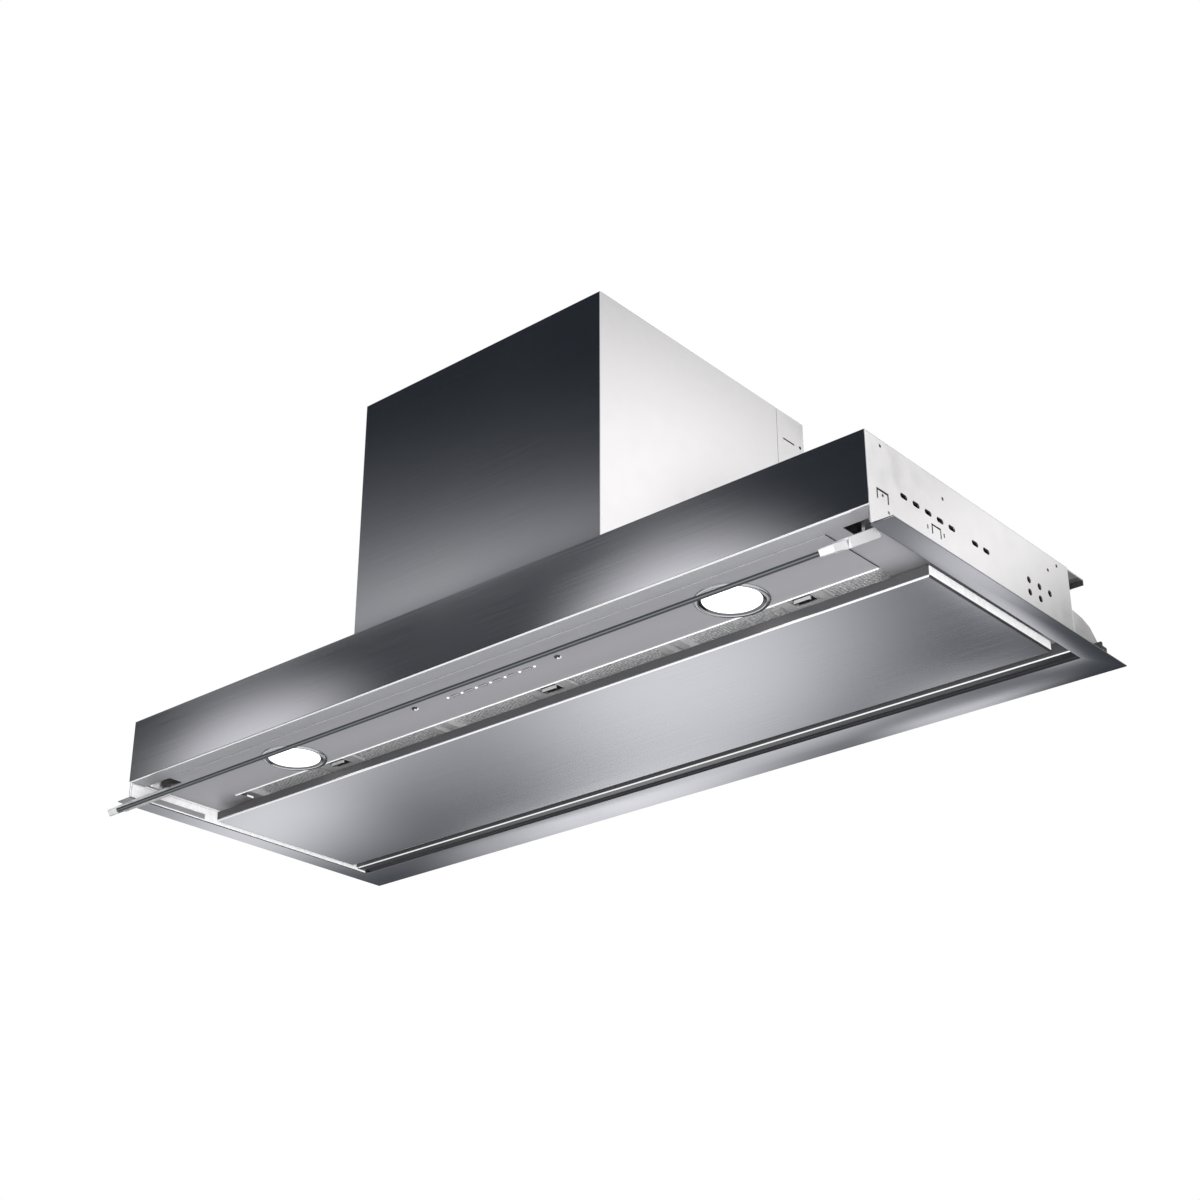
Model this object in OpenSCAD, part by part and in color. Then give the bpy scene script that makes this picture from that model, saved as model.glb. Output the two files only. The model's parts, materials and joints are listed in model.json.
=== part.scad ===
// Built-in canopy hood, 900 mm class, with a tilting glass visor, perimeter
// suction panel, three grease filters, two spot lamps and a boxed fan.
// The frame's origin is the middle of the rear flange strip's top face.
// X runs along the hood, Y towards the wall, Z up.

/* [Lower body] */
// Width over the two side flanges
flange_w = 898; // [840:1:960]
// Width of each side flange strip
flange_side = 18.3; // [14:0.1:24]
// Depth of the rear flange strip
flange_rear = 39.9; // [30:0.1:50]
// Depth of the raised ledge between the rear wall and the rear strip
ledge_d = 11; // [9:0.5:16]
// Height of that ledge over the flange underside
ledge_h = 3.6; // [3:0.1:5]
// Depth of the body from the front face to the rear wall
body_d = 301.3; // [290:0.1:330]
// Height of the body over the flange underside
body_h = 78.8; // [74:0.1:95]
// Height of the front panel's lower edge
lip_z = 15; // [14:0.5:20]
// Depth of the front panel's lower lip
lip_d = 18; // [16:0.5:22]
// Thickness of the sheet metal
sheet = 1.2; // [0.8:0.1:1.5]

/* [Fan box] */
// Width of the fan box
box_w = 299.2; // [280:0.2:340]
// Distance from the front face to the fan box
box_front = 28.8; // [20:0.2:40]
// Depth of the front cover of the fan box, up to the seam
cover_d = 261.3; // [250:0.1:280]
// Depth of the rear section of the fan box
rear_box_d = 44.6; // [40:0.1:50]
// Height of the fan box over the body
box_h = 263.1; // [255:0.1:300]
// Outer diameter of the outlet collar
outlet_d = 150; // [140:1:160]
// Height of the outlet collar over the fan box
collar_h = 50; // [40:1:60]

/* [Suction panel] */
// Gap between the panel and the flange opening at each side
panel_gap = 11.1; // [8:0.1:14]
// Distance from the front face to the panel
panel_front = 99.4; // [98:0.1:110]
// Depth of the panel
panel_d = 184.3; // [170:0.1:190]
// Height of the panel's turned-up edges
panel_h = 9.5; // [8:0.1:11]
// How far the panel stands below the flange underside
panel_drop = 0.8; // [0:0.1:2]

/* [Light strip and controls] */
// Length of the light strip
strip_w = 758; // [700:1:790]
// Depth of the light strip
strip_d = 72.6; // [68:0.1:76]
// Distance of each lamp from the middle
lamp_x = 259.5; // [220:0.5:300]
// Distance of the lamps from the front face
lamp_y = 61; // [56:0.5:64]
// Diameter of the lamp rim
lamp_d = 62.5; // [56:0.5:66]
// Diameter of the lamp lens
lens_d = 49; // [44:0.5:50]
// Spacing of the six control buttons
key_pitch = 17.2; // [15:0.1:19]
// Distance of the buttons from the front face
key_y = 53.7; // [48:0.1:58]
// Travel of a button
key_travel = 0.8; // [0.5:0.1:1]

/* [Filters] */
// Width of one grease filter
filter_w = 270; // [255:1:276]
// Spacing of the filters
filter_pitch = 278; // [277:0.5:280]
// Gap between the filters and the rear wall
filter_rear = 10.1; // [9:0.1:14]
// Height of the filter underside over the flange underside
filter_z = 35.5; // [34:0.5:38]
// Thickness of a filter
filter_t = 9; // [8:0.5:10]

/* [Visor] */
// Width of the visor over its two end clamps
visor_w = 840; // [780:1:848]
// Length of the visor from its pivot to its edge
visor_l = 65.9; // [50:0.1:66]
// Downward tilt of the open visor
visor_tilt = 31.6; // [25:0.1:40]
// Thickness of the visor glass
glass_t = 4; // [3:0.5:5]

/* [Gussets and electronics] */
// Height of the rear gussets
gusset_h = 40; // [30:1:60]
// Distance of the gussets from the rear edge of the flange
gusset_end = 3.2; // [2:0.1:8]
// Depth of a clip on a gusset
clip_d = 16; // [12:1:20]
// Height of a clip on a gusset
clip_h = 14; // [10:1:18]
// Radius of the fan motor
motor_r = 44; // [36:1:48]
// Radius of the fan shaft
shaft_r = 4; // [3:0.5:5]
// Width of the electronics box
elec_w = 63; // [50:1:70]
// Depth of the electronics box
elec_d = 26; // [20:1:34]
// Height of the electronics box
elec_h = 150; // [120:1:180]
// Height of the cable inlet over the body
inlet_h = 200; // [190:1:230]

/* [Hidden] */
eps = 0.01;
body_w = flange_w - 2 * flange_side;
bw = body_w / 2;                           // outer face of a side panel
iw = bw - sheet;                           // inner face of a side panel
fw = flange_w / 2;
flange_y0 = 2.4;
flange_y1 = body_d + ledge_d + flange_rear;
seat_y = flange_y1 - flange_rear / 2 - 0.25;   // middle of the rear strip
gusset_y1 = flange_y1 - gusset_end;
seam_z = sheet + 0.3;                      // top of the bead under the side panels
rear_in = body_d - sheet;                  // inner face of the rear wall
up_in = iw - sheet;                        // inner face of the flange upstand
up_z = 14;
bb = box_w / 2;
box_y0 = box_front;
seam_y = box_y0 + cover_d;
box_y1 = seam_y + rear_box_d;
box_z1 = body_h + box_h;
lid_z = box_z1 - sheet;
vent_w = 100;                              // half width of the opening under the fan
ledge_out = 28.8;                          // top plate beyond the rear wall
pw = up_in - panel_gap;
panel_y1 = panel_front + panel_d;
panel_z0 = -panel_drop;
panel_z1 = panel_z0 + panel_h;
ceil_z = lip_z + sheet;                    // underside of the inner ceiling
ceil_top = ceil_z + sheet;
strip_y0 = lip_d + 0.4;
strip_y1 = lip_d + strip_d;
sw = strip_w / 2;
win_y0 = 94;                               // opening of the ceiling under the filters
deck_z = filter_z + filter_t + 0.5;
rail_y = 108.8;
filter_y0 = 111;
filter_y1 = rear_in - filter_rear;
filter_border = 9;
latch_z = filter_z + 1.1;
latch_travel = 5;
key_x0 = 2.5 - 2.5 * key_pitch;
board_z = ceil_z + 5.6;
vc = cos(visor_tilt);
vs = sin(visor_tilt);
piv_y = 27;
piv_z = 6.8;
clamp_w = 15;
clamp_t = 8.6;
clamp_back = 4.6;
pin_r = 2;
vw = visor_w / 2;
ear_x = vw - 11.5;                         // inner face of a pivot ear
hinge_y = panel_y1 - 0.7;
hinge_z = panel_z1 + 0.8;
hinge_x = pw - 24;
fan_y = 150;
fan_z = 212;
fan_w = 58;                                // half width of the fan housing
wheel_r = 85;
neck_y0 = fan_y + 16;
neck_y1 = fan_y + 112;
outlet_y = (neck_y0 + neck_y1) / 2;
flap_z = box_z1 + 9;
steel = [0.55, 0.56, 0.58];
bright = [0.90, 0.90, 0.91];
dark = [0.10, 0.10, 0.11];
alu = [0.78, 0.79, 0.80];
lens_c = [1, 1, 0.97];
glass_c = [0.55, 0.72, 0.72, 0.6];
white = [0.95, 0.95, 0.95];
copper = [0.75, 0.45, 0.25];
green = [0.10, 0.35, 0.18];

// Helpers

module place() translate([0, -seat_y, -sheet]) children();

// block between two corners
module blk(x, y, z) translate([x[0], y[0], z[0]])
  cube([x[1] - x[0], y[1] - y[0], z[1] - z[0]]);

// block and its mirror image about the middle
module twin(x, y, z) { blk(x, y, z); blk([-x[1], -x[0]], y, z); }

// cylinders along each axis, from a to b
module cz(x, y, r, a, b, n = 24) translate([x, y, a]) cylinder(r = r, h = b - a, $fn = n);
module cx(y, z, r, a, b, n = 24) translate([a, y, z]) rotate([90, 0, 90])
  cylinder(r = r, h = b - a, $fn = n);
module cy(x, z, r, a, b, n = 24) translate([x, b, z]) rotate([90, 0, 0])
  cylinder(r = r, h = b - a, $fn = n);

// flat outline in the Y-Z plane, extruded along X from a to b
module yz(a, b) translate([a, 0, 0]) rotate([90, 0, 90]) linear_extrude(b - a) children();

// long hole through a side panel, centred on y and z
module side_slot(x0, x1, y, z, l, w, n = 16) {
  blk([x0, x1], [y - l / 2 + w / 2, y + l / 2 - w / 2], [z - w / 2, z + w / 2]);
  cx(y - l / 2 + w / 2, z, w / 2, x0, x1, n);
  cx(y + l / 2 - w / 2, z, w / 2, x0, x1, n);
}

// rounded button outline
module pill(l, w) {
  square([l - w, w], center = true);
  for (s = [-1, 1]) translate([s * (l - w) / 2, 0]) circle(d = w, $fn = 20);
}

// the visor's own axes: x across, s from the pivot to the edge, n upwards
module visor_frame() translate([0, piv_y, piv_z])
  multmatrix([[1, 0, 0, 0], [0, -vc, -vs, 0], [0, -vs, vc, 0], [0, 0, 0, 1]]) children();

// Lower body

module front_fascia() color(steel) place() {
  blk([-bw, bw], [0, sheet], [lip_z, body_h]);
  blk([-iw, iw], [sheet, lip_d], [lip_z, lip_z + sheet]);
  blk([-iw + 14, iw - 14], [sheet, 14], [body_h - 2 * sheet, body_h - sheet]);
}

// holes of one side panel between x0 and x1
module side_holes(x0, x1) {
  for (p = [[20.5, body_h - 6], [105.4, 63], [body_d - 35.3, 63], [body_d - 19.3, body_h - 6]])
    cx(p[0], p[1], 1.6, x0, x1, 16);
  for (y = [48.8, 65.5, 82.2, 98.9, 115.6, 149.3, 166])
    side_slot(x0, x1, y, 41.5, 9.5, 4.4);
  for (p = [[69.8, 41.1], [53, 41.1], [36.2, 41.1], [69.8, 30.1], [53, 30.1]])
    cx(body_d - p[0], p[1], 3, x0, x1, 20);
  // cut round the sprung tongues
  blk([x0, x1], [11.5, 27.5], [33, 34.7]);
  blk([x0, x1], [11.5, 13.2], [25.3, 34.7]);
  blk([x0, x1], [25.8, 27.5], [25.3, 34.7]);
  cx(19.4, 30.4, 1.4, x0, x1, 16);
  cx(26.5, 18.7, 1.4, x0, x1, 16);
  blk([x0, x1], [85.7, 87.3], [25.5, 34.3]);
  blk([x0, x1], [85.7, 99.3], [32.7, 34.3]);
  blk([x0, x1], [97.7, 99.3], [25.5, 34.3]);
  blk([x0, x1], [79.3, 80.9], [27.2, 30.8]);
  blk([x0, x1], [102.4, 104], [28.4, 32]);
}

module side_panel() {
  difference() {
    union() {
      blk([iw, bw], [sheet, body_d], [seam_z, body_h]);
      blk([iw - 12, iw + eps], [sheet, rear_in], [body_h - 2 * sheet, body_h - sheet]);
    }
    side_holes(iw - 1, bw + 1);
  }
}

module side_panel_right() color(bright) place() side_panel();
module side_panel_left() color(bright) place() mirror([1, 0, 0]) side_panel();

module rear_panel() color(bright) place() difference() {
  blk([-iw, iw], [rear_in, body_d], [ledge_h, body_h - sheet]);
  for (x = [129.5 - iw, iw - 129.5]) cy(x, 55, 4, rear_in - 1, body_d + 1, 20);
  for (x = [209.5 - iw, iw - 209.5]) cy(x, 24, 2.6, rear_in - 1, body_d + 1, 16);
}

module top_plate() color(bright) place() difference() {
  union() {
    blk([-iw, iw], [sheet, rear_in], [body_h - sheet, body_h]);
    blk([-iw, iw], [rear_in - eps, body_d + ledge_out], [body_h - sheet, body_h]);
  }
  blk([-vent_w, vent_w], [box_y0 + 36, seam_y - 24], [body_h - 3, body_h + 1]);
  for (x = [39.5 - iw, iw - 39.5], y = [60, body_d - 61.3]) cz(x, y, 3, body_h - 3, body_h + 1, 20);
  for (x = [29.5 - iw, -200, 200, iw - 29.5]) cz(x, body_d + 16, 2.6, body_h - 3, body_h + 1, 16);
}

module ledge_edging() color(dark) place()
  blk([-iw, iw], [body_d + ledge_out - 1.6, body_d + ledge_out],
      [body_h - sheet - 4.6, body_h - sheet]);

// picture-frame flange with its upstand and the raised rear ledge
module flange_frame() color(steel) place() {
  twin([up_in, fw], [flange_y0, flange_y1], [0, sheet]);
  blk([-fw, fw], [body_d + ledge_d, flange_y1], [0, sheet]);
  twin([up_in, iw], [flange_y0, rear_in], [0, up_z]);
  twin([iw - eps, bw], [flange_y0, gusset_y1], [sheet - eps, seam_z]);
  blk([-up_in, up_in], [rear_in - sheet, rear_in], [ledge_h - sheet, up_z]);
  blk([-up_in, up_in], [rear_in - eps, body_d + ledge_d + sheet], [ledge_h - sheet, ledge_h]);
  blk([-up_in, up_in], [body_d + ledge_d, body_d + ledge_d + sheet], [0, ledge_h]);
}

module rear_gusset() difference() {
  g = gusset_y1;
  h = gusset_h;
  yz(iw, bw) polygon([[body_d, ledge_h], [body_d, h], [g - 31, h - 2], [g - 19, h - 6],
    [g - 8, 0.6 * h], [g, 0.3 * h], [g, seam_z], [body_d + ledge_d + sheet, seam_z],
    [body_d + ledge_d + sheet, ledge_h]]);
  cx(g - 23, 0.3 * h, 2.6, iw - 1, bw + 1, 16);
}
module rear_gusset_right() color(white) place() rear_gusset();
module rear_gusset_left() color(white) place() mirror([1, 0, 0]) rear_gusset();

module gusset_clips() color(dark) place()
  for (m = [0, 1]) mirror([m, 0, 0]) {
    blk([bw, bw + 4], [gusset_y1 - clip_d, gusset_y1], [6, 6 + clip_h]);
    blk([bw, bw + 7], [gusset_y1 - clip_d, gusset_y1 - clip_d + 3], [6, 6 + clip_h]);
  }

// Inner ceiling, light strip and controls

module ceiling_plate() color(steel) place() difference() {
  union() {
    blk([-iw, iw], [sheet, rear_in - sheet], [ceil_z, ceil_top]);
    blk([-sw + 1, sw - 1], [win_y0 - sheet, win_y0], [ceil_top - eps, deck_z - 15]);
  }
  blk([-sw + 1, sw - 1], [win_y0, rear_in - 14], [ceil_z - 1, ceil_top + 1]);
  for (x = [-lamp_x, lamp_x]) cz(x, lamp_y, 28.6, ceil_z - 1, ceil_top + 1, 40);
  blk([-58, 63], [key_y - 12, key_y + 12], [ceil_z - 1, ceil_top + 1]);
  for (m = [0, 1]) mirror([m, 0, 0]) {
    blk([vw - 26, vw + 8], [lip_d + 0.2, 36], [ceil_z - 1, ceil_top + 1]);
    blk([hinge_x - 7, hinge_x + 9], [hinge_y - 7, rear_in], [ceil_z - 1, ceil_top + 1]);
  }
  for (x = [-88, 82.5]) cz(x, key_y - 2.2, 1.7, ceil_z - 1, ceil_top + 1, 16);
}

module light_strip() color(steel) place() difference() {
  blk([-sw, sw], [strip_y0, strip_y1], [lip_z, ceil_z]);
  for (x = [-lamp_x, lamp_x]) cz(x, lamp_y, 28.6, lip_z - 1, ceil_z + 1, 40);
  for (i = [0:5]) translate([key_x0 + i * key_pitch, key_y, lip_z - 1])
    linear_extrude(4) pill(9.6, 3.6);
  for (i = [0:6]) cz(key_x0 + (i - 0.5) * key_pitch, key_y, 1.1, lip_z - 1, ceil_z + 1, 16);
  for (x = [-88, 82.5]) cz(x, key_y - 2.2, 1.7, lip_z - 1, ceil_z + 1, 16);
}

module strip_screws() color(dark) place() for (x = [-88, 82.5]) {
  cz(x, key_y - 2.2, 1.7, lip_z - 0.1, ceil_top + 3, 16);
  difference() {
    cz(x, key_y - 2.2, 3, lip_z - 1.4, lip_z, 20);
    cz(x, key_y - 2.2, 1.3, lip_z - 1.6, lip_z - 0.5, 6);
  }
}

// rim of a lamp: a bezel ring with a sleeve up through the ceiling
module lamp_rim(x) difference() {
  union() {
    translate([x, lamp_y, lip_z - 1.6]) cylinder(r1 = lamp_d / 2 - 1.2, r2 = lamp_d / 2,
      h = 1.6, $fn = 64);
    cz(x, lamp_y, 28.6, lip_z - eps, ceil_top + 8, 64);
  }
  cz(x, lamp_y, lens_d / 2 + 0.001, lip_z - 3, lip_z + 2, 64);
  cz(x, lamp_y, 27, lip_z + 2 - eps, ceil_top + 9, 64);
}
module lamp_rim_left() color(bright) place() lamp_rim(-lamp_x);
module lamp_rim_right() color(bright) place() lamp_rim(lamp_x);

module lamp_lens(x) {
  cz(x, lamp_y, lens_d / 2, lip_z - 0.6, lip_z + 2, 64);
  cz(x, lamp_y, 27, lip_z + 2 - eps, lip_z + 3.4, 64);
}
module lamp_lens_left() color(lens_c) place() lamp_lens(-lamp_x);
module lamp_lens_right() color(lens_c) place() lamp_lens(lamp_x);

// lamp body: a plate over the lens with cooling ribs and two spring clips
module lamp_body(x) {
  cz(x, lamp_y, 27, lip_z + 3.4, lip_z + 10, 48);
  for (i = [-2:2]) blk([x - 20 + 3 * abs(i), x + 20 - 3 * abs(i)],
    [lamp_y + i * 7 - 1, lamp_y + i * 7 + 1], [lip_z + 10 - eps, lip_z + 22]);
}
module lamp_body_left() color(alu) place() lamp_body(-lamp_x);
module lamp_body_right() color(alu) place() lamp_body(lamp_x);

// board with six switches and four posts that stand on the ceiling
module control_board() color(green) place() {
  blk([-64, 69], [key_y - 16, key_y + 16], [board_z, board_z + 1.6]);
  for (x = [-61, 66], y = [-14, 14]) cz(x, key_y + y, 2.2, ceil_top, board_z + eps, 16);
  for (i = [0:5]) blk([key_x0 + i * key_pitch - 3, key_x0 + i * key_pitch + 3],
    [key_y - 3, key_y + 3], [ceil_z + 3 + key_travel + 0.1, board_z + eps]);
  blk([-30, 30], [key_y + 5, key_y + 12], [board_z + 1.6 - eps, board_z + 6]);
}

module key_lights() color(lens_c) place() for (i = [0:6]) {
  cz(key_x0 + (i - 0.5) * key_pitch, key_y, 1.1, lip_z - 0.3, ceil_z, 16);
  cz(key_x0 + (i - 0.5) * key_pitch, key_y, 1.7, ceil_z, ceil_z + 1.4, 16);
}

// push button: a cap through the strip, a shoulder over it and a stem to its switch
module button(i) color(alu) place() translate([key_x0 + i * key_pitch, key_y, 0]) {
  translate([0, 0, lip_z - 1]) linear_extrude(sheet + 1) pill(9.2, 3.2);
  translate([0, 0, ceil_z]) linear_extrude(1) pill(11.4, 5.4);
  cz(0, 0, 1.4, ceil_z + 1 - eps, ceil_z + 3, 16);
}
module button_1() button(0);
module button_2() button(1);
module button_3() button(2);
module button_4() button(3);
module button_5() button(4);
module button_6() button(5);

// Filters

module filter_deck() color(bright) place() difference() {
  union() {
    blk([-iw, iw], [rail_y, rear_in], [deck_z, deck_z + sheet]);
    blk([-iw, iw], [rail_y, rail_y + sheet], [deck_z - 15, deck_z + eps]);
    blk([-sw + 1, sw - 1], [win_y0 - sheet, rail_y + eps], [deck_z - 15, deck_z - 13.8]);
    blk([-iw, iw], [filter_y1 + 0.8, filter_y1 + 0.8 + sheet], [deck_z - 12, deck_z + eps]);
  }
  for (i = [-1:1]) translate([i * filter_pitch, 0, 0]) {
    blk([-filter_w / 2 + 12, filter_w / 2 - 12], [rail_y + 14, filter_y1 - 9],
        [deck_z - 1, deck_z + 3]);
    blk([-10.3, 10.3], [rail_y - 1, rail_y + 2], [latch_z, latch_z + 2.3]);
    for (s = [-90, 90]) blk([s - 9, s + 9], [filter_y1, filter_y1 + 3], [latch_z, latch_z + 2.3]);
  }
}

module filter_frame(i) color(alu) place() translate([i * filter_pitch, 0, 0]) {
  w = filter_w / 2;
  b = filter_border;
  difference() {
    blk([-w, w], [filter_y0, filter_y1], [filter_z, filter_z + filter_t]);
    blk([-w + b, w - b], [filter_y0 + b, filter_y1 - b], [filter_z - 1, filter_z + filter_t + 1]);
    blk([-9.3, 9.3], [filter_y0 - 1, filter_y0 + b + 1], [latch_z - 0.1, latch_z + 2.2]);
  }
  // latch plate with its finger window
  difference() {
    blk([-22, 22], [filter_y0 + b - eps, 147], [filter_z, filter_z + 1]);
    blk([-12, 12], [124, 142], [filter_z - 1, filter_z + 2]);
  }
  for (x = [-22, 20.8]) blk([x, x + 1.2], [filter_y0 + b - eps, 147],
    [filter_z + 1 - eps, filter_z + 3.6]);
  for (s = [-90, 90]) blk([s - 8.5, s + 8.5], [filter_y1 - eps, filter_y1 + 3.5],
    [latch_z, latch_z + 2]);
}
module filter_frame_left() filter_frame(-1);
module filter_frame_middle() filter_frame(0);
module filter_frame_right() filter_frame(1);

// expanded metal pack, carried by the frame's four inner faces
module filter_mesh(i) color(alu) place() translate([i * filter_pitch, 0, 0]) {
  w = filter_w / 2 - filter_border;
  y0 = filter_y0 + filter_border;
  y1 = filter_y1 - filter_border;
  px = (2 * w - 11.2) / 7;
  py = (y1 - y0 - 13) / 4;
  difference() {
    blk([-w, w], [y0, y1], [filter_z + 4.6, filter_z + 7.6]);
    for (a = [0:6], c = [0:3]) blk([-w + 8 + a * px, -w - 0.4 + (a + 1) * px],
      [y0 + 8 + c * py, y0 + 1 + (c + 1) * py], [filter_z + 4, filter_z + 9]);
  }
}
module filter_mesh_left() filter_mesh(-1);
module filter_mesh_middle() filter_mesh(0);
module filter_mesh_right() filter_mesh(1);

// sliding latch: a tongue through frame and rail, and a finger tab in the window
module filter_latch(i) color(bright) place() translate([i * filter_pitch, 0, 0]) {
  blk([-9, 9], [rail_y - 3.6, 141], [latch_z, latch_z + 2]);
  blk([-8, 8], [131, 133], [filter_z - 2.2, latch_z + eps]);
}
module filter_latch_left() filter_latch(-1);
module filter_latch_middle() filter_latch(0);
module filter_latch_right() filter_latch(1);

// Suction panel

module suction_panel() color(steel) place() difference() {
  union() {
    blk([-pw, pw], [panel_front, panel_y1], [panel_z0, panel_z0 + sheet]);
    blk([-pw, pw], [panel_front, panel_front + sheet], [panel_z0, panel_z1]);
    blk([-pw, pw], [panel_y1 - sheet, panel_y1], [panel_z0, panel_z1]);
    twin([pw - sheet, pw], [panel_front, panel_y1], [panel_z0, panel_z1]);
  }
  for (m = [0, 1]) mirror([m, 0, 0])
    blk([hinge_x - 7, hinge_x + 9], [panel_y1 - 3, panel_y1 + 1], [panel_z0 + 2.8, panel_z1 + 1]);
}

// inner stiffener of the panel, with its hinge ears and magnet plates
module panel_liner() color(bright) place() {
  z = panel_z0 + sheet;
  blk([-pw + 30, pw - 30], [panel_front + 30, panel_front + 34], [z, z + 5]);
  blk([-pw + 30, pw - 30], [panel_y1 - 34, panel_y1 - 30], [z, z + 5]);
  blk([-pw + 30, pw - 30], [panel_front + 30, panel_y1 - 30], [z, z + 1]);
  for (m = [0, 1]) mirror([m, 0, 0]) {
    difference() {
      union() for (x = [hinge_x - 4, hinge_x + 4]) {
        cx(hinge_y, hinge_z, 4, x, x + 2);
        yz(x, x + 2) polygon([[hinge_y - 34, z], [panel_y1 - sheet, z],
          [panel_y1 - sheet, hinge_z - 4], [hinge_y + 3.8, hinge_z - 1],
          [hinge_y - 3, hinge_z + 2.6], [hinge_y - 8, z + 4], [hinge_y - 34, z + 2]]);
      }
      cx(hinge_y, hinge_z, pin_r + 0.08, hinge_x - 9, hinge_x + 12);
    }
    blk([hinge_x - 4, hinge_x + 6], [panel_y1 - 34, hinge_y - 14], [z, z + 1]);
    blk([hinge_x - 2, hinge_x + 16], [panel_front + sheet, panel_front + 52], [z, z + 1]);
    blk([pw - 34, pw - 16], [panel_front + 32, panel_front + 52], [z, panel_z1 - 0.6]);
  }
}

// fixed hinge arms on the rear wall, with their pins
module panel_hinges() color(bright) place() for (m = [0, 1]) mirror([m, 0, 0]) {
  yz(hinge_x, hinge_x + 2) polygon([[hinge_y - 4, hinge_z], [hinge_y - 3, hinge_z - 3],
    [hinge_y, hinge_z - 4], [hinge_y + 3, hinge_z - 3], [hinge_y + 4, hinge_z],
    [hinge_y + 4, ceil_z + 4], [rear_in - sheet, ceil_z + 4], [rear_in - sheet, ceil_z + 13],
    [hinge_y - 4, ceil_z + 13]]);
  blk([hinge_x - 10, hinge_x + 12], [rear_in - sheet, rear_in], [ceil_top, ceil_z + 13]);
  cx(hinge_y, hinge_z, pin_r, hinge_x - 6, hinge_x + 8);
}

module panel_magnets() color(dark) place() for (m = [0, 1]) mirror([m, 0, 0])
  blk([pw - 34, pw - 16], [panel_front + 36, panel_front + 48], [panel_z1 - 0.4, ceil_z]);

// Visor

module visor_glass() color(glass_c) place() visor_frame() {
  blk([-vw + clamp_w, vw - clamp_w], [3.4, visor_l], [-glass_t / 2, glass_t / 2]);
  blk([-vw + clamp_w - 8, vw - clamp_w + 8], [12, visor_l - 4], [-glass_t / 2, glass_t / 2]);
}

module visor_clamp() color(white) place() visor_frame() difference() {
  union() {
    blk([vw - clamp_w, vw], [0, 0.68 * visor_l], [-clamp_t / 2, clamp_t / 2]);
    blk([vw - clamp_w, vw - 2.5], [0.6 * visor_l, visor_l], [1 - clamp_t / 2, clamp_t / 2 - 1]);
    cx(0, 0, clamp_t / 2, vw - clamp_w, vw, 32);
  }
  blk([vw - clamp_w - 1, vw - clamp_w + 8], [12, visor_l - 4], [-glass_t / 2, glass_t / 2]);
  blk([vw - 12, vw - 8], [-9, 10.5], [-9, 9]);
  cx(0, 0, pin_r, vw - clamp_w - 1, vw + 1);
}
module visor_clamp_right() visor_clamp();
module visor_clamp_left() mirror([1, 0, 0]) visor_clamp();

// pivot brackets: feet on the ceiling and ears down through its slots
module visor_brackets() color(bright) place() for (m = [0, 1]) mirror([m, 0, 0]) difference() {
  union() {
    cx(piv_y, piv_z, 4.3, ear_x, ear_x + 3, 32);
    yz(ear_x, ear_x + 3) polygon([[piv_y - 4.3, piv_z], [piv_y + 4.3, piv_z],
      [piv_y + 7, ceil_z], [piv_y + 7, ceil_top], [48, ceil_top], [48, ceil_top + 10],
      [piv_y - 4.3, ceil_top + 10]]);
    blk([ear_x - 14, ear_x + 10], [37, 48], [ceil_top, ceil_top + 2]);
  }
  cx(piv_y, piv_z, pin_r + 0.08, ear_x - 1, ear_x + 4);
}

module visor_pin() color(bright) place() cx(piv_y, piv_z, pin_r, vw - 26, vw + 1.5);
module visor_pin_right() visor_pin();
module visor_pin_left() mirror([1, 0, 0]) visor_pin();

// Fan box

module motor_cover() color(steel) place() {
  blk([-bb, bb], [box_y0, box_y0 + sheet], [body_h, box_z1]);
  twin([bb - sheet, bb], [box_y0, seam_y], [body_h, box_z1]);
  blk([-bb + sheet - eps, bb - sheet + eps], [box_y0 + sheet - eps, box_y0 + 12],
      [body_h, body_h + sheet]);
  twin([bb - 12, bb - sheet + eps], [box_y0 + 12 - eps, seam_y], [body_h, body_h + sheet]);
  blk([-bb + sheet - eps, bb - sheet + eps], [box_y0 + sheet - eps, box_y0 + 12],
      [lid_z - sheet, lid_z]);
}

module rear_box() color(white) place() difference() {
  union() {
    twin([bb - sheet, bb], [seam_y + 0.5, box_y1], [body_h, box_z1]);
    twin([bb - 2 * sheet, bb - sheet], [seam_y - 10, seam_y + 10], [body_h + 4, lid_z - 2]);
    twin([bb - 2 * sheet, bb - sheet + eps], [seam_y + 0.5, seam_y + 10], [body_h + 4, lid_z - 2]);
    blk([-bb, bb], [box_y1 - sheet, box_y1], [body_h, box_z1]);
    blk([-bb + sheet, bb - sheet], [seam_y + 11, box_y1 - sheet + eps], [body_h, body_h + sheet]);
    blk([-bb + sheet, bb - sheet], [box_y1 - 12, box_y1 - sheet + eps], [lid_z - sheet, lid_z]);
  }
  for (m = [0, 1]) mirror([m, 0, 0]) {
    side_slot(bb - 2, bb + 1, seam_y + 19, 312, 19, 1.6);
    cx(328, 313, 1.8, bb - 2, bb + 1, 16);
  }
  cy(-100, body_h + inlet_h, 8, box_y1 - 3, box_y1 + 1, 32);
}

module box_lid() color(bright) place() difference() {
  blk([-bb + sheet, bb - sheet], [box_y0 + sheet, box_y1 - sheet], [lid_z, box_z1]);
  cz(0, outlet_y, outlet_d / 2 - 1.6, lid_z - 1, box_z1 + 1, 64);
  for (x = [-120, 120], y = [60, 300]) cz(x, y, 2.6, lid_z - 1, box_z1 + 1, 16);
}

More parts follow.
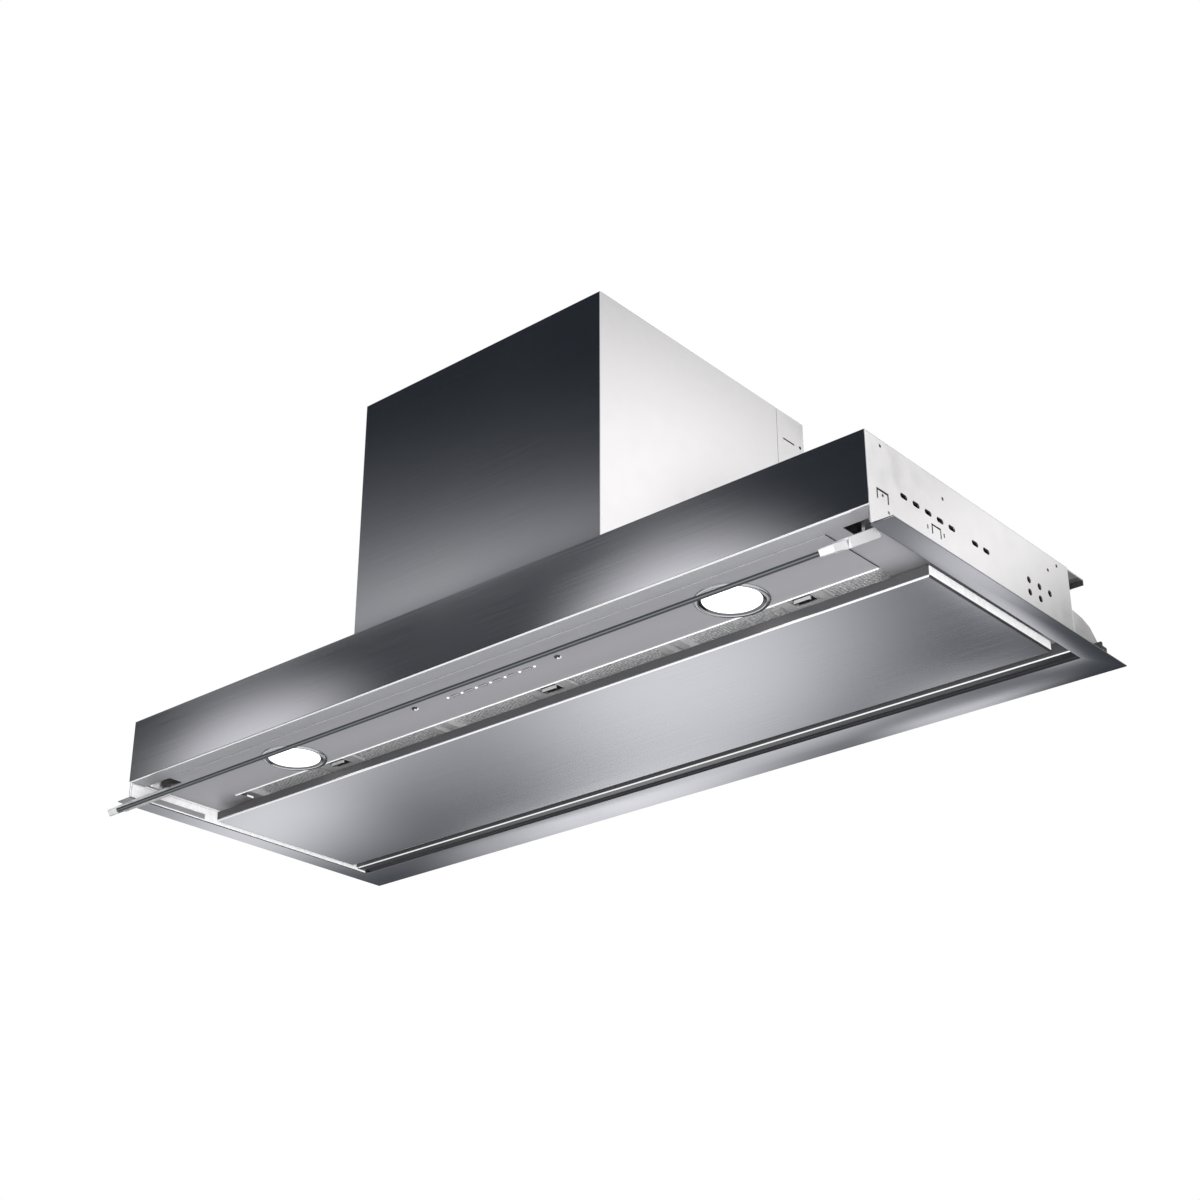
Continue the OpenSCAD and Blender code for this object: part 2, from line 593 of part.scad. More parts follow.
module outlet_collar() color(bright) place() difference() {
  union() {
    cz(0, outlet_y, outlet_d / 2, box_z1, box_z1 + collar_h, 64);
    cz(0, outlet_y, outlet_d / 2 + 10, box_z1, box_z1 + 1.5, 64);
  }
  cz(0, outlet_y, outlet_d / 2 - 1.6, box_z1 - 1, box_z1 + collar_h + 1, 64);
  for (s = [-1, 1]) cx(outlet_y + s * 4, flap_z, 1.58, -outlet_d / 2 - 2, outlet_d / 2 + 2, 20);
}

// half-round non-return flap; s is -1 for the front half, 1 for the rear half
module flap(s) color(dark) place() {
  r = outlet_d / 2 - 3.4;
  difference() {
    intersection() {
      cz(0, outlet_y, r, flap_z - 0.6, flap_z + 0.6, 64);
      translate([-outlet_d, s > 0 ? outlet_y + 4 : outlet_y - 4 - outlet_d, flap_z - 1])
        cube([2 * outlet_d, outlet_d, 2]);
    }
    cx(outlet_y + s * 4, flap_z, 1.5, -r - 1, r + 1, 20);
  }
  cx(outlet_y + s * 4, flap_z, 1.5, -outlet_d / 2 + 0.4, outlet_d / 2 - 0.4, 20);
}
module flap_front() flap(-1);
module flap_rear() flap(1);

// spiral outline of the fan housing, offset by d
function spiral(d) = [for (a = [0:12:348]) let (r = wheel_r + 7 + 27 * ((a + 12) / 360) + d)
  [fan_y - r * cos(a + 180), fan_z + r * sin(a + 180)]];

module housing_shape(d) union() {
  polygon(spiral(d));
  translate([neck_y0 - d, fan_z]) square([neck_y1 - neck_y0 + 2 * d, lid_z - fan_z]);
}

module fan_housing() color(bright) place() {
  difference() {
    yz(-fan_w, fan_w) housing_shape(0);
    yz(-fan_w + 1.5, fan_w - 1.5) intersection() {
      housing_shape(-1.5);
      translate([0, fan_z - 200]) square([600, 200 + lid_z - fan_z]);
    }
    yz(-fan_w + 1.5, fan_w - 1.5) translate([neck_y0 + 1.5, lid_z - 40])
      square([neck_y1 - neck_y0 - 3, 60]);
    cx(fan_y, fan_z, 70, -fan_w - 1, fan_w + 1, 64);
  }
  difference() {
    blk([-fan_w - 8, fan_w + 8], [neck_y0 - 8, neck_y1 + 8], [lid_z - 1.5, lid_z]);
    blk([-fan_w + 1.5, fan_w - 1.5], [neck_y0 + 1.5, neck_y1 - 1.5], [lid_z - 3, lid_z + 1]);
  }
}

module fan_wheel() color(dark) place() translate([0, fan_y, fan_z]) {
  difference() {
    union() {
      cx(0, 0, wheel_r - 4, 8, 10, 64);
      cx(0, 0, 9, 6, 22, 32);
    }
    cx(0, 0, shaft_r, 5, 23, 24);
  }
  for (x = [-50, 47.5]) difference() {
    cx(0, 0, wheel_r, x, x + 2.5, 64);
    cx(0, 0, wheel_r - 10, x - 1, x + 4, 64);
  }
  for (i = [0:27]) rotate([i * 360 / 28, 0, 0]) translate([0, wheel_r - 9, 0])
    rotate([32, 0, 0]) blk([-50, 50], [0.6, 7.4], [-0.5, 0.5]);
}

module fan_shaft() color(steel) place() cx(fan_y, fan_z, shaft_r, -fan_w - 8, 24, 24);

// motor inside the wheel's left half, held by the three arms
module fan_motor() color(dark) place() difference() {
  union() {
    cx(fan_y, fan_z, motor_r, 6 - fan_w, 0, 48);
    cx(fan_y, fan_z, 20, -fan_w, 6 - fan_w + eps, 32);
    cx(fan_y, fan_z, 12, 0 - eps, 4, 32);
  }
  cx(fan_y, fan_z, shaft_r + 0.08, -fan_w - 12, 10, 24);
}

module motor_arms() color(bright) place()
  translate([-fan_w - 3, fan_y, fan_z]) rotate([90, 0, 90]) linear_extrude(3) difference() {
    union() {
      circle(r = 26, $fn = 48);
      for (a = [30, 150, 270]) rotate([0, 0, a]) translate([0, -6]) square([wheel_r - 1, 12]);
    }
    circle(r = 9, $fn = 32);
  }

// electronics housing on the rear wall of the fan box, with its cable bush
module electronics_box() color(white) place() {
  x0 = -bb + 14.6;
  x1 = x0 + elec_w;
  blk([x0, x1], [box_y1 - sheet - elec_d, box_y1 - sheet], [body_h + 20, body_h + 20 + elec_h]);
  cx(box_y1 - 16, body_h + 40, 9, x1 - eps, x1 + 32, 32);
}

module cable_inlet() color(dark) place() difference() {
  union() {
    cy(-100, body_h + inlet_h, 12, box_y1, box_y1 + 3, 32);
    cy(-100, body_h + inlet_h, 8, box_y1 - 6, box_y1 + 0.1, 32);
    cy(-100, body_h + inlet_h, 11, box_y1 - sheet - 3, box_y1 - sheet, 6);
  }
  cy(-100, body_h + inlet_h, 4, box_y1 - 8, box_y1 + 4, 24);
}

front_fascia();
side_panel_left();
side_panel_right();
rear_panel();
top_plate();
ledge_edging();
flange_frame();
rear_gusset_left();
rear_gusset_right();
gusset_clips();
ceiling_plate();
light_strip();
strip_screws();
lamp_rim_left();
lamp_rim_right();
lamp_lens_left();
lamp_lens_right();
lamp_body_left();
lamp_body_right();
control_board();
key_lights();
button_1();
button_2();
button_3();
button_4();
button_5();
button_6();
filter_deck();
filter_frame_left();
filter_frame_middle();
filter_frame_right();
filter_mesh_left();
filter_mesh_middle();
filter_mesh_right();
filter_latch_left();
filter_latch_middle();
filter_latch_right();
suction_panel();
panel_liner();
panel_hinges();
panel_magnets();
visor_glass();
visor_clamp_left();
visor_clamp_right();
visor_brackets();
visor_pin_left();
visor_pin_right();
motor_cover();
rear_box();
box_lid();
outlet_collar();
flap_front();
flap_rear();
fan_housing();
fan_wheel();
fan_shaft();
fan_motor();
motor_arms();
electronics_box();
cable_inlet();
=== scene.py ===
"""Looks of a built-in canopy hood: brushed fascia and flange, suction panel, glass visor,
spot lamps, grease filters and a boxed fan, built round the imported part."""

import json
import math

import bmesh
import bpy
from mathutils import Matrix, Vector

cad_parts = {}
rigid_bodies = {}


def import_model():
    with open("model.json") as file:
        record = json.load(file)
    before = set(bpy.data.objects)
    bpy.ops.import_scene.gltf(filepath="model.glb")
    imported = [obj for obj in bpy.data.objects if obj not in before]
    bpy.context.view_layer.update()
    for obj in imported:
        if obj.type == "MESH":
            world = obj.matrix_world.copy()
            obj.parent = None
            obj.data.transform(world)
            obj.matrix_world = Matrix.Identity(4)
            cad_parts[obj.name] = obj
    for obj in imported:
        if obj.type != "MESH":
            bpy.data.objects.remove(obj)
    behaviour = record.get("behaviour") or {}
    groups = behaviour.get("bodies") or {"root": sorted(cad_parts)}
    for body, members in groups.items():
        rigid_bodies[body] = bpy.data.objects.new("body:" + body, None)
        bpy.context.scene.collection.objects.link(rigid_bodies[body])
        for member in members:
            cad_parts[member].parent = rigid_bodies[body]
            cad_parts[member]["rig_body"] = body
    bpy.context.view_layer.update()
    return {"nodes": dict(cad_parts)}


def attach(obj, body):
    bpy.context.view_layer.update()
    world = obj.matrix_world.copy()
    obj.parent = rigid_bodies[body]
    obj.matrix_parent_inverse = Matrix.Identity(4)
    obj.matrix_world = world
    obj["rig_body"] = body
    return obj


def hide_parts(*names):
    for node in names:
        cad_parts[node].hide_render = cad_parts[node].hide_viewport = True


bl_info = {
    "name": "Built-in canopy hood",
    "version": (1, 0, 0),
    "blender": (4, 5, 0),
    "location": "3D View > Sidebar > Hood",
    "description": "Dresses the packed canopy hood with its sheet metal, glass, lamps and filters",
    "category": "Object",
}

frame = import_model()
NODES = frame["nodes"]

# The drawing counts from the middle of the width, the front and the flange's underside,
# in mm. The row frame's zero, the middle of the rear strip's top face, lies there at:
SEAT_Y = 332.0
SEAT_Z = 1.2
SEAT = {"x": 0, "y": SEAT_Y, "z": SEAT_Z}


def mm(x, y, z):
    """A point of the drawing, in millimetres, as metres in the row frame."""
    return Vector((x / 1000, (y - SEAT_Y) / 1000, (z - SEAT_Z) / 1000))


def span(place, reach=0.5):
    """The range of the drawing within reach of a place, in mm."""
    return place - reach, place + reach


# Places in the drawing, in mm. Those along x lie on both sides of the middle.
BODY_X = 430.7  # outsides of the side panels
BODY_TOP = 78.8
LIP_Y = 18  # rear edge of the fascia's lip
LIP_Z = 15  # underside of the lip, and of the light strip
OPENING_X = 428.3  # inner edges of the flange's side strips
REAR_STRIP_Y = 312.3  # front edge of the flange's rear strip
LEDGE_Y = 298.9  # front of the raised ledge before it
LEDGE_Z = 2.4  # underside of the ledge
WALL_BAR = (-428.3, 25, 1.7), (-427.3, 92, 6.9)  # bar low on the left inner wall
STRIP_FRONT = 18.4  # front edge of the light strip
STRIP_END = 379  # its ends, short of the visor's slots
HEM = (-STRIP_END, 89.4, 14), (STRIP_END, 90.6, 15.1)  # its turned rear edge
SCREWS = (-88, 51.5), (82.5, 51.5)
KEY_Z = 14  # face of the buttons
KEY_LIGHT_Z = 14.7  # face of the lights between them
LAMP_X = 259.5
LAMP_Y = 61
LAMP_OPENING = 27.2  # radius within which a lamp's rim lies in shade
NET = (-404, 120, 41.6), (-152, 281, 41.6)  # mesh of the left filter
FILTER_STEP = 278  # from one filter to the next
PANEL_X = 417.2  # sides of the suction panel
PANEL_FRONT = 100
PANEL_BACK = 283.7
PANEL_Z = -0.8  # its underside
BOX_X = 149.6  # sides of the fan box
BOX_FRONT = 28.8
BOX_SEAM = 290.6  # front edge of its rear section
BOX_BACK = 334.7
BOX_TOP = 341.9
LID_SCREWS = (-120, 60), (120, 60), (-120, 300), (120, 300)
OUTLET_Y = 214

VISOR_TILT = 31.6  # the glass's slope at rest, in degrees


# Settings


class HoodSizes(bpy.types.PropertyGroup):
    """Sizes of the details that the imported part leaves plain."""

    fold_radius: bpy.props.FloatProperty(
        name="Fold radius",
        description="Outer radius of the folds in the visible sheet metal",
        default=0.0014,
        min=0.0004,
        max=0.003,
        unit="LENGTH",
    )
    edge_break: bpy.props.FloatProperty(
        name="Edge break",
        description="Width of the broken edges of cut sheet",
        default=0.00028,
        min=0.0001,
        max=0.0005,
        unit="LENGTH",
    )
    mesh_long: bpy.props.FloatProperty(
        name="Mesh length",
        description="Long way of one opening in the filters' expanded metal",
        default=0.0064,
        min=0.004,
        max=0.012,
        unit="LENGTH",
    )
    mesh_short: bpy.props.FloatProperty(
        name="Mesh width",
        description="Short way of one opening in the filters' expanded metal",
        default=0.0034,
        min=0.002,
        max=0.008,
        unit="LENGTH",
    )
    strand: bpy.props.FloatProperty(
        name="Strand width",
        description="Width of a strand of the expanded metal",
        default=0.0008,
        min=0.0002,
        max=0.001,
        unit="LENGTH",
    )
    collar_bead: bpy.props.FloatProperty(
        name="Collar bead",
        description="Height of the beads rolled into the outlet collar",
        default=0.0012,
        min=0.0005,
        max=0.0025,
        unit="LENGTH",
    )


class HoodFinishes(bpy.types.PropertyGroup):
    """Colours and surface values of the finishes."""

    steel: bpy.props.FloatVectorProperty(
        name="Brushed steel",
        description="Colour of the brushed stainless steel",
        subtype="COLOR",
        size=3,
        min=0,
        max=1,
        default=(0.612, 0.607, 0.645),
    )
    steel_roughness: bpy.props.FloatProperty(
        name="Steel roughness",
        description="How matt the brushed steel is",
        subtype="FACTOR",
        default=0.085,
        min=0.05,
        max=0.6,
    )
    sheet: bpy.props.FloatVectorProperty(
        name="Bright sheet",
        description="Colour of the coated sheet at the sides, the back and inside",
        subtype="COLOR",
        size=3,
        min=0,
        max=1,
        default=(0.87, 0.855, 0.865),
    )
    alloy: bpy.props.FloatVectorProperty(
        name="Aluminium",
        description="Colour of the filters' aluminium",
        subtype="COLOR",
        size=3,
        min=0,
        max=1,
        default=(0.83, 0.84, 0.85),
    )
    glass: bpy.props.FloatVectorProperty(
        name="Glass edge",
        description="Colour that the visor's glass has at its edges",
        subtype="COLOR",
        size=3,
        min=0,
        max=1,
        default=(0.085, 0.095, 0.105),
    )
    lamp_power: bpy.props.FloatProperty(
        name="Lamp glow",
        description="Strength of the light that the lamps' lenses give off",
        default=0.9,
        min=0,
        max=20,
    )


# Finishes


NOISE_RANGE = 0.3, 0.7
TINT_RANGE = 0.35, 0.65
# Scales of the brushed metal's two patterns, along x, y and z
STREAKS = 9.0, 1500.0, 1500.0
CLOUDS = 5.0, 5.0, 5.0


def darker(colour, share):
    """The colour with only this share of its light."""
    return tuple(c * share for c in colour)


def new_material(name):
    """An empty node material with its shader and its object coordinates, or the one that
    is there already, with None for its nodes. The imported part's own materials keep their
    names, so these begin with hood_."""
    name = "hood_" + name
    found = bpy.data.materials.get(name)
    if found is not None:
        return found, None, None, None
    mat = bpy.data.materials.new(name)
    mat.use_nodes = True
    tree = mat.node_tree
    tree.nodes.clear()
    out = tree.nodes.new("ShaderNodeOutputMaterial")
    shader = tree.nodes.new("ShaderNodeBsdfPrincipled")
    tree.links.new(shader.outputs[0], out.inputs[0])
    where = tree.nodes.new("ShaderNodeTexCoord")
    return mat, tree, shader, where


def streaks(tree, where, scale, detail):
    """Noise drawn out along the axis whose scale is small."""
    turn = tree.nodes.new("ShaderNodeMapping")
    turn.inputs["Scale"].default_value = scale
    tree.links.new(where.outputs["Object"], turn.inputs[0])
    noise = tree.nodes.new("ShaderNodeTexNoise")
    noise.inputs["Scale"].default_value = 1.0
    noise.inputs["Detail"].default_value = detail
    tree.links.new(turn.outputs[0], noise.inputs["Vector"])
    return noise


def spread(tree, source, low, high):
    """The noise, which seldom leaves NOISE_RANGE, laid out between low and high."""
    level = tree.nodes.new("ShaderNodeMapRange")
    level.inputs["From Min"].default_value = NOISE_RANGE[0]
    level.inputs["From Max"].default_value = NOISE_RANGE[1]
    level.inputs["To Min"].default_value = low
    level.inputs["To Max"].default_value = high
    tree.links.new(source, level.inputs["Value"])
    return level.outputs[0]


def tint(tree, source, colour, shade):
    """Mixes a colour with a darker shade of itself by the noise."""
    ramp = tree.nodes.new("ShaderNodeValToRGB")
    dark, full = ramp.color_ramp.elements
    dark.position, full.position = TINT_RANGE
    dark.color = (*darker(colour, shade), 1)
    full.color = (*colour, 1)
    tree.links.new(source, ramp.inputs[0])
    return ramp.outputs[0]


def relief(tree, source, strength, distance):
    """A bump from the noise."""
    bump = tree.nodes.new("ShaderNodeBump")
    bump.inputs["Strength"].default_value = strength
    bump.inputs["Distance"].default_value = distance
    tree.links.new(source, bump.inputs["Height"])
    return bump.outputs[0]


def brushed(name, colour, rough, metal=1.0):
    """Brushed metal: fine streaks along X, and faint wide clouds."""
    mat, tree, shader, where = new_material(name)
    if tree is None:
        return mat
    fine = streaks(tree, where, STREAKS, 4.0)
    cloud = streaks(tree, where, CLOUDS, 2.0)
    shader.inputs["Metallic"].default_value = metal
    tree.links.new(tint(tree, fine.outputs[0], colour, 0.93), shader.inputs["Base Color"])
    total = tree.nodes.new("ShaderNodeMath")
    total.operation = "ADD"
    tree.links.new(spread(tree, fine.outputs[0], rough * 0.85, rough * 1.1), total.inputs[0])
    tree.links.new(spread(tree, cloud.outputs[0], -0.012, 0.018), total.inputs[1])
    tree.links.new(total.outputs[0], shader.inputs["Roughness"])
    tree.links.new(relief(tree, fine.outputs[0], 0.006, 0.00005), shader.inputs["Normal"])
    return mat


def coated(name, colour, rough, metal=1.0, shade=0.96, grain=60.0, depth=0.015):
    """Rolled or coated metal with a mottle of this grain."""
    mat, tree, shader, where = new_material(name)
    if tree is None:
        return mat
    mottle = streaks(tree, where, (grain,) * 3, 5.0)
    shader.inputs["Metallic"].default_value = metal
    tree.links.new(tint(tree, mottle.outputs[0], colour, shade), shader.inputs["Base Color"])
    tree.links.new(
        spread(tree, mottle.outputs[0], rough * 0.85, rough * 1.15),
        shader.inputs["Roughness"],
    )
    tree.links.new(relief(tree, mottle.outputs[0], depth, 0.0002), shader.inputs["Normal"])
    return mat


def moulded(name, colour, rough, grain=900.0):
    """Moulded plastic, or enamel, with a fine eggshell grain."""
    mat, tree, shader, where = new_material(name)
    if tree is None:
        return mat
    skin = streaks(tree, where, (grain,) * 3, 2.0)
    tree.links.new(tint(tree, skin.outputs[0], colour, 0.9), shader.inputs["Base Color"])
    tree.links.new(
        spread(tree, skin.outputs[0], rough * 0.9, rough * 1.1),
        shader.inputs["Roughness"],
    )
    tree.links.new(relief(tree, skin.outputs[0], 0.12, 0.0001), shader.inputs["Normal"])
    return mat


def lit_glass(name, power):
    """Frosted lamp glass that glows."""
    mat, tree, shader, where = new_material(name)
    if tree is None:
        return mat
    frost = streaks(tree, where, (700.0,) * 3, 2.0)
    tree.links.new(
        tint(tree, frost.outputs[0], (1.0, 0.99, 0.96), 0.97),
        shader.inputs["Base Color"],
    )
    tree.links.new(
        tint(tree, frost.outputs[0], (1.0, 0.99, 0.97), 0.94),
        shader.inputs["Emission Color"],
    )
    shader.inputs["Emission Strength"].default_value = power
    shader.inputs["Roughness"].default_value = 0.25
    return mat


def clear_glass(name, colour):
    """Float glass with faint waves."""
    mat, tree, shader, where = new_material(name)
    if tree is None:
        return mat
    wave = streaks(tree, where, (8.0,) * 3, 1.0)
    tree.links.new(tint(tree, wave.outputs[0], colour, 0.97), shader.inputs["Base Color"])
    shader.inputs["Roughness"].default_value = 0.02
    shader.inputs["IOR"].default_value = 1.5
    shader.inputs["Transmission Weight"].default_value = 1.0
    tree.links.new(relief(tree, wave.outputs[0], 0.02, 0.0001), shader.inputs["Normal"])
    return mat


def finish(kind):
    """The material of one of the record's slots, or of a finish that only some faces of a
    piece have: a matt satin steel, three steels darkened as painted shade, enamel, mesh
    and chrome."""
    f = bpy.context.scene.hood_finishes
    steel = tuple(f.steel)
    rough = f.steel_roughness
    made = {
        "brushed_front": lambda: brushed("steel_front", steel, rough),
        "brushed_under": lambda: brushed("steel_under", steel, rough * 1.15),
        # a matt steel for undersides, which on a few faces is painted shade
        "satin": lambda: brushed("steel_satin", darker(steel, 0.54), 0.5, 0.3),
        # the next three are the steel darkened as painted shade, on faces in gaps, hollows, seams
        # and undersides
        "shaded": lambda: brushed("steel_shaded", darker(steel, 0.25), rough * 1.6),
        "dim": lambda: brushed("steel_dim", darker(steel, 0.13), 0.5, 0.3),
        "dark": lambda: brushed("steel_dark", darker(steel, 0.07), 0.4, 0.6),
        # white enamel, and the polished steel further down, are also painted on some steel faces
        # and folds as their light and highlights
        "enamel": lambda: moulded("white_enamel", (0.9, 0.9, 0.91), 0.45, 260.0),
        "bright_sheet": lambda: coated("bright_sheet", tuple(f.sheet), 0.17, 0.95, depth=0.002),
        "aluminium": lambda: coated("aluminium", tuple(f.alloy), 0.4, 0.3, grain=220.0),
        "mesh": lambda: coated("mesh_alloy", (0.85, 0.85, 0.86), 0.42, 0.0, 0.5, 420.0),
        "polished": lambda: coated("polished", (0.9, 0.9, 0.91), 0.12, shade=0.98),
        "chrome": lambda: coated("chrome", (0.5, 0.51, 0.53), 0.16, shade=0.97),
        "lamp_glass": lambda: lit_glass("lamp_glass", f.lamp_power),
        "visor_glass": lambda: clear_glass("visor_glass", (0.97, 0.99, 0.985)),
        # black is also painted on the front of the screw heads and under the latches as their shade
        "black_plastic": lambda: moulded("black_plastic", (0.02, 0.02, 0.022), 0.5),
        "white_plastic": lambda: moulded("white_plastic", (0.52, 0.52, 0.53), 0.42),
        "board": lambda: moulded("board", (0.03, 0.16, 0.07), 0.4, 300.0),
        "dark_iron": lambda: coated("dark_iron", (0.09, 0.09, 0.10), 0.45, 0.8),
    }
    return made[kind]()


# Modelling


# Angles in radians between the two faces of an edge
SHARP_ANGLE = 0.5
CUT_ANGLE = 1.2
# How far a normal leans at least along both axes, on a face that lies aslant
ASLANT = 0.15
# How far at most an edge lies off the place that a test names, in metres
TOLERANCE = 0.00005


def deselect():
    """Leaves edit mode, with no object selected."""
    if bpy.context.object and bpy.context.object.mode != "OBJECT":
        bpy.ops.object.mode_set(mode="OBJECT")
    bpy.ops.object.select_all(action="DESELECT")


def alone(ob):
    """Makes ob the only selected object and the active one."""
    deselect()
    ob.select_set(True)
    bpy.context.view_layer.objects.active = ob
    return ob


def primitive(name, add, **options):
    """Adds a primitive with nothing else selected, and names it."""
    deselect()
    add(**options)
    ob = bpy.context.object
    ob.name = name
    ob.data.name = name
    return ob


def settle(ob):
    """Puts the place, turn and size of ob into its mesh."""
    alone(ob)
    bpy.ops.object.transform_apply(location=True, rotation=True, scale=True)
    return ob


def pick(ob, kind, test):
    """In edit mode, selects the points, edges or faces for which test is true, and
    counts them."""
    alone(ob)
    bpy.ops.object.mode_set(mode="EDIT")
    bpy.ops.mesh.select_mode(type={"verts": "VERT", "edges": "EDGE", "faces": "FACE"}[kind])
    bm = bmesh.from_edit_mesh(ob.data)
    bm.normal_update()
    for parts in (bm.faces, bm.edges, bm.verts):
        for part in parts:
            part.select = False
    count = 0
    for part in getattr(bm, kind):
        if test(part):
            part.select = True
            count += 1
    bm.select_flush_mode()
    bmesh.update_edit_mesh(ob.data)
    return count


def sharp(e):
    return len(e.link_faces) == 2 and e.calc_face_angle(0.0) > SHARP_ANGLE


def bevel(ob, test, width, segments=2):
    """Rounds the edges for which test is true."""
    if pick(ob, "edges", lambda e: sharp(e) and test(e)):
        bpy.ops.mesh.bevel(
            offset=width, segments=segments, profile=0.5, clamp_overlap=False
        )
    bpy.ops.object.mode_set(mode="OBJECT")


def smooth(ob, angle=42.0):
    """Smooth shading over the rounded edges, with the large faces kept flat."""
    alone(ob)
    bpy.ops.object.shade_smooth_by_angle(angle=math.radians(angle))
    bpy.ops.object.modifier_add(type="WEIGHTED_NORMAL")
    ob.modifiers[-1].keep_sharp = True
    bpy.ops.object.modifier_apply(modifier=ob.modifiers[-1].name)


def paint(ob, *materials):
    ob.data.materials.clear()
    for m in materials:
        ob.data.materials.append(m)


def recolour(ob, test, other):
    """Gives the faces for which test is true another finish."""
    ob.data.materials.append(finish(other))
    for face in ob.data.polygons:
        if test(face):
            face.material_index = len(ob.data.materials) - 1


def within(face, at):
    """True if the face's centre lies within these ranges of the drawing, in mm."""
    return all(
        low <= 1000 * face.center["xyz".index(k)] + SEAT[k] <= high
        for k, (low, high) in at.items()
    )


def facing(axis, sign=0, **at):
    """A test for the faces that look along an axis, and that lie within these ranges of
    the drawing, in mm. The sign is 1 or -1, or 0 for both ways."""

    def test(face):
        n = face.normal["XYZ".index(axis)]
        return abs(n) >= 0.9 and n * sign >= 0 and within(face, at)

    return test


def folded(axis, sign=0, **at):
    """A test for the narrow faces of a fold, which look partly along the axis X or Y and
    partly up (1), down (-1) or either way (0), within these ranges of the drawing."""

    def test(face):
        n = face.normal["XYZ".index(axis)]
        rise = face.normal.z * sign if sign else abs(face.normal.z)
        return abs(n) > ASLANT and rise > ASLANT and within(face, at)

    return test


def fit(ob, node):
    """Puts ob in the place of a node, on its body."""
    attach(ob, NODES[node]["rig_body"])
    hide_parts(node)
    return ob


def copy_of(node, name):
    """A copy of a node's mesh, merged, with its flat faces made whole."""
    ob = bpy.data.objects.new(name, NODES[node].data.copy())
    bpy.context.scene.collection.objects.link(ob)
    alone(ob)
    bpy.ops.object.mode_set(mode="EDIT")
    bpy.ops.mesh.select_all(action="SELECT")
    bpy.ops.mesh.remove_doubles(threshold=0.000002)
    bpy.ops.mesh.dissolve_limited(angle_limit=math.radians(0.5))
    bpy.ops.object.mode_set(mode="OBJECT")
    return ob


def near(value, target):
    return abs(value - target) < TOLERANCE


def middle(e):
    return (e.verts[0].co + e.verts[1].co) / 2


def along(e, axis):
    """True if the edge runs along that axis."""
    d = e.verts[1].co - e.verts[0].co
    return abs(d["XYZ".index(axis)]) > 0.999 * d.length


def dress(node, name, slot, folds=(), edge=None, least=0.012, faces=()):
    """A piece in the place of a node: folds is a list of (test, radius), and faces a list
    of (test, finish) for the faces that have another finish. The cut edges that are left
    and longer than least are broken by the width edge, or by the usual one for None."""
    sizes = bpy.context.scene.hood_sizes
    ob = copy_of(node, name)
    for test, radius in folds:
        bevel(ob, test, radius, 4)
    width = sizes.edge_break if edge is None else edge
    if width:
        bevel(
            ob,
            lambda e: e.calc_length() > least and e.calc_face_angle(0) > CUT_ANGLE,
            width,
        )
    paint(ob, finish(slot))
    for test, other in faces:
        recolour(ob, test, other)
    smooth(ob)
    return fit(ob, node)


def turned(name, centre, profile, steps):
    """A piece turned about Z: a ring of edges, extruded and resized along the profile of
    (radius, height) pairs in millimetres. A radius of 0 closes an end."""
    # a radius of 0 can't be resized, so it is tiny first and its points are merged last
    profile = [(max(r, 0.001), h) for r, h in profile]
    was, height = profile[0]
    ob = primitive(
        name,
        bpy.ops.mesh.primitive_circle_add,
        vertices=steps,
        radius=was / 1000,
        location=(0, 0, height / 1000),
    )
    settle(ob)
    bpy.ops.object.mode_set(mode="EDIT")
    bpy.ops.mesh.select_mode(type="VERT")
    bpy.ops.mesh.select_all(action="SELECT")
    for r, h in profile[1:]:
        bpy.ops.mesh.extrude_region_move(
            TRANSFORM_OT_translate={"value": (0, 0, (h - height) / 1000)}
        )
        if abs(r - was) > 1e-9:
            bpy.ops.transform.resize(
                value=(r / was, r / was, 1), center_override=(0, 0, h / 1000)
            )
        was, height = r, h
    bpy.ops.mesh.select_all(action="SELECT")
    bpy.ops.mesh.remove_doubles(threshold=0.000004)
    bpy.ops.mesh.normals_make_consistent(inside=False)
    bpy.ops.object.mode_set(mode="OBJECT")
    ob.location = centre
    return settle(ob)


def block(name, corners, width, kind):
    """A block between two corners in the drawing, with its edges rounded by width."""
    low, high = (mm(*c) for c in corners)
    ob = primitive(name, bpy.ops.mesh.primitive_cube_add, size=1, location=(low + high) / 2)
    ob.scale = high - low
    settle(ob)
    bevel(ob, lambda e: True, width)
    paint(ob, finish(kind))
    smooth(ob)
    return ob


def join(name, parts):
    """Joins the parts into one piece."""
    alone(parts[0])
    for p in parts:
        p.select_set(True)
    bpy.ops.object.join()
    parts[0].name = name
    parts[0].data.name = name
    return parts[0]


def fold(axis, **at):
    """A test for the edges along an axis that lie at these places of the drawing, in mm.
    A place along x counts on both sides of the middle."""

    def test(e):
        m = middle(e)
        return along(e, axis) and all(
            near(abs(m.x) if k == "x" else m["xyz".index(k)], (v - SEAT[k]) / 1000)
            for k, v in at.items()
        )

    return test


class HoodPiece:
    """What the hood's operators share."""

    bl_options = {"REGISTER", "UNDO"}

    def execute(self, context):
        self.make(context.scene.hood_sizes)
        return {"FINISHED"}


# Body sheet


class HOOD_OT_fascia(HoodPiece, bpy.types.Operator):
    """Folded fascia with its lip"""

    bl_idname = "hood.fascia"
    bl_label = "Fascia"

    def make(self, sizes):
        r = sizes.fold_radius
        dress(
            "front_fascia",
            "fascia",
            "brushed_front",
            [
                (fold("X", y=0, z=LIP_Z), r),
                (fold("X", y=0, z=BODY_TOP), r * 0.4),
                (fold("X", y=LIP_Y, z=LIP_Z), r * 0.4),
                (fold("Z", x=BODY_X, y=0), r * 0.3),
            ],
            faces=[
                (facing("Z", -1, z=span(LIP_Z)), "satin"),
                # painted highlight: the fold at the lip is a lighter, polished steel
                (folded("Y", y=span(0, 2), z=span(LIP_Z, 2)), "polished"),
            ],
        )


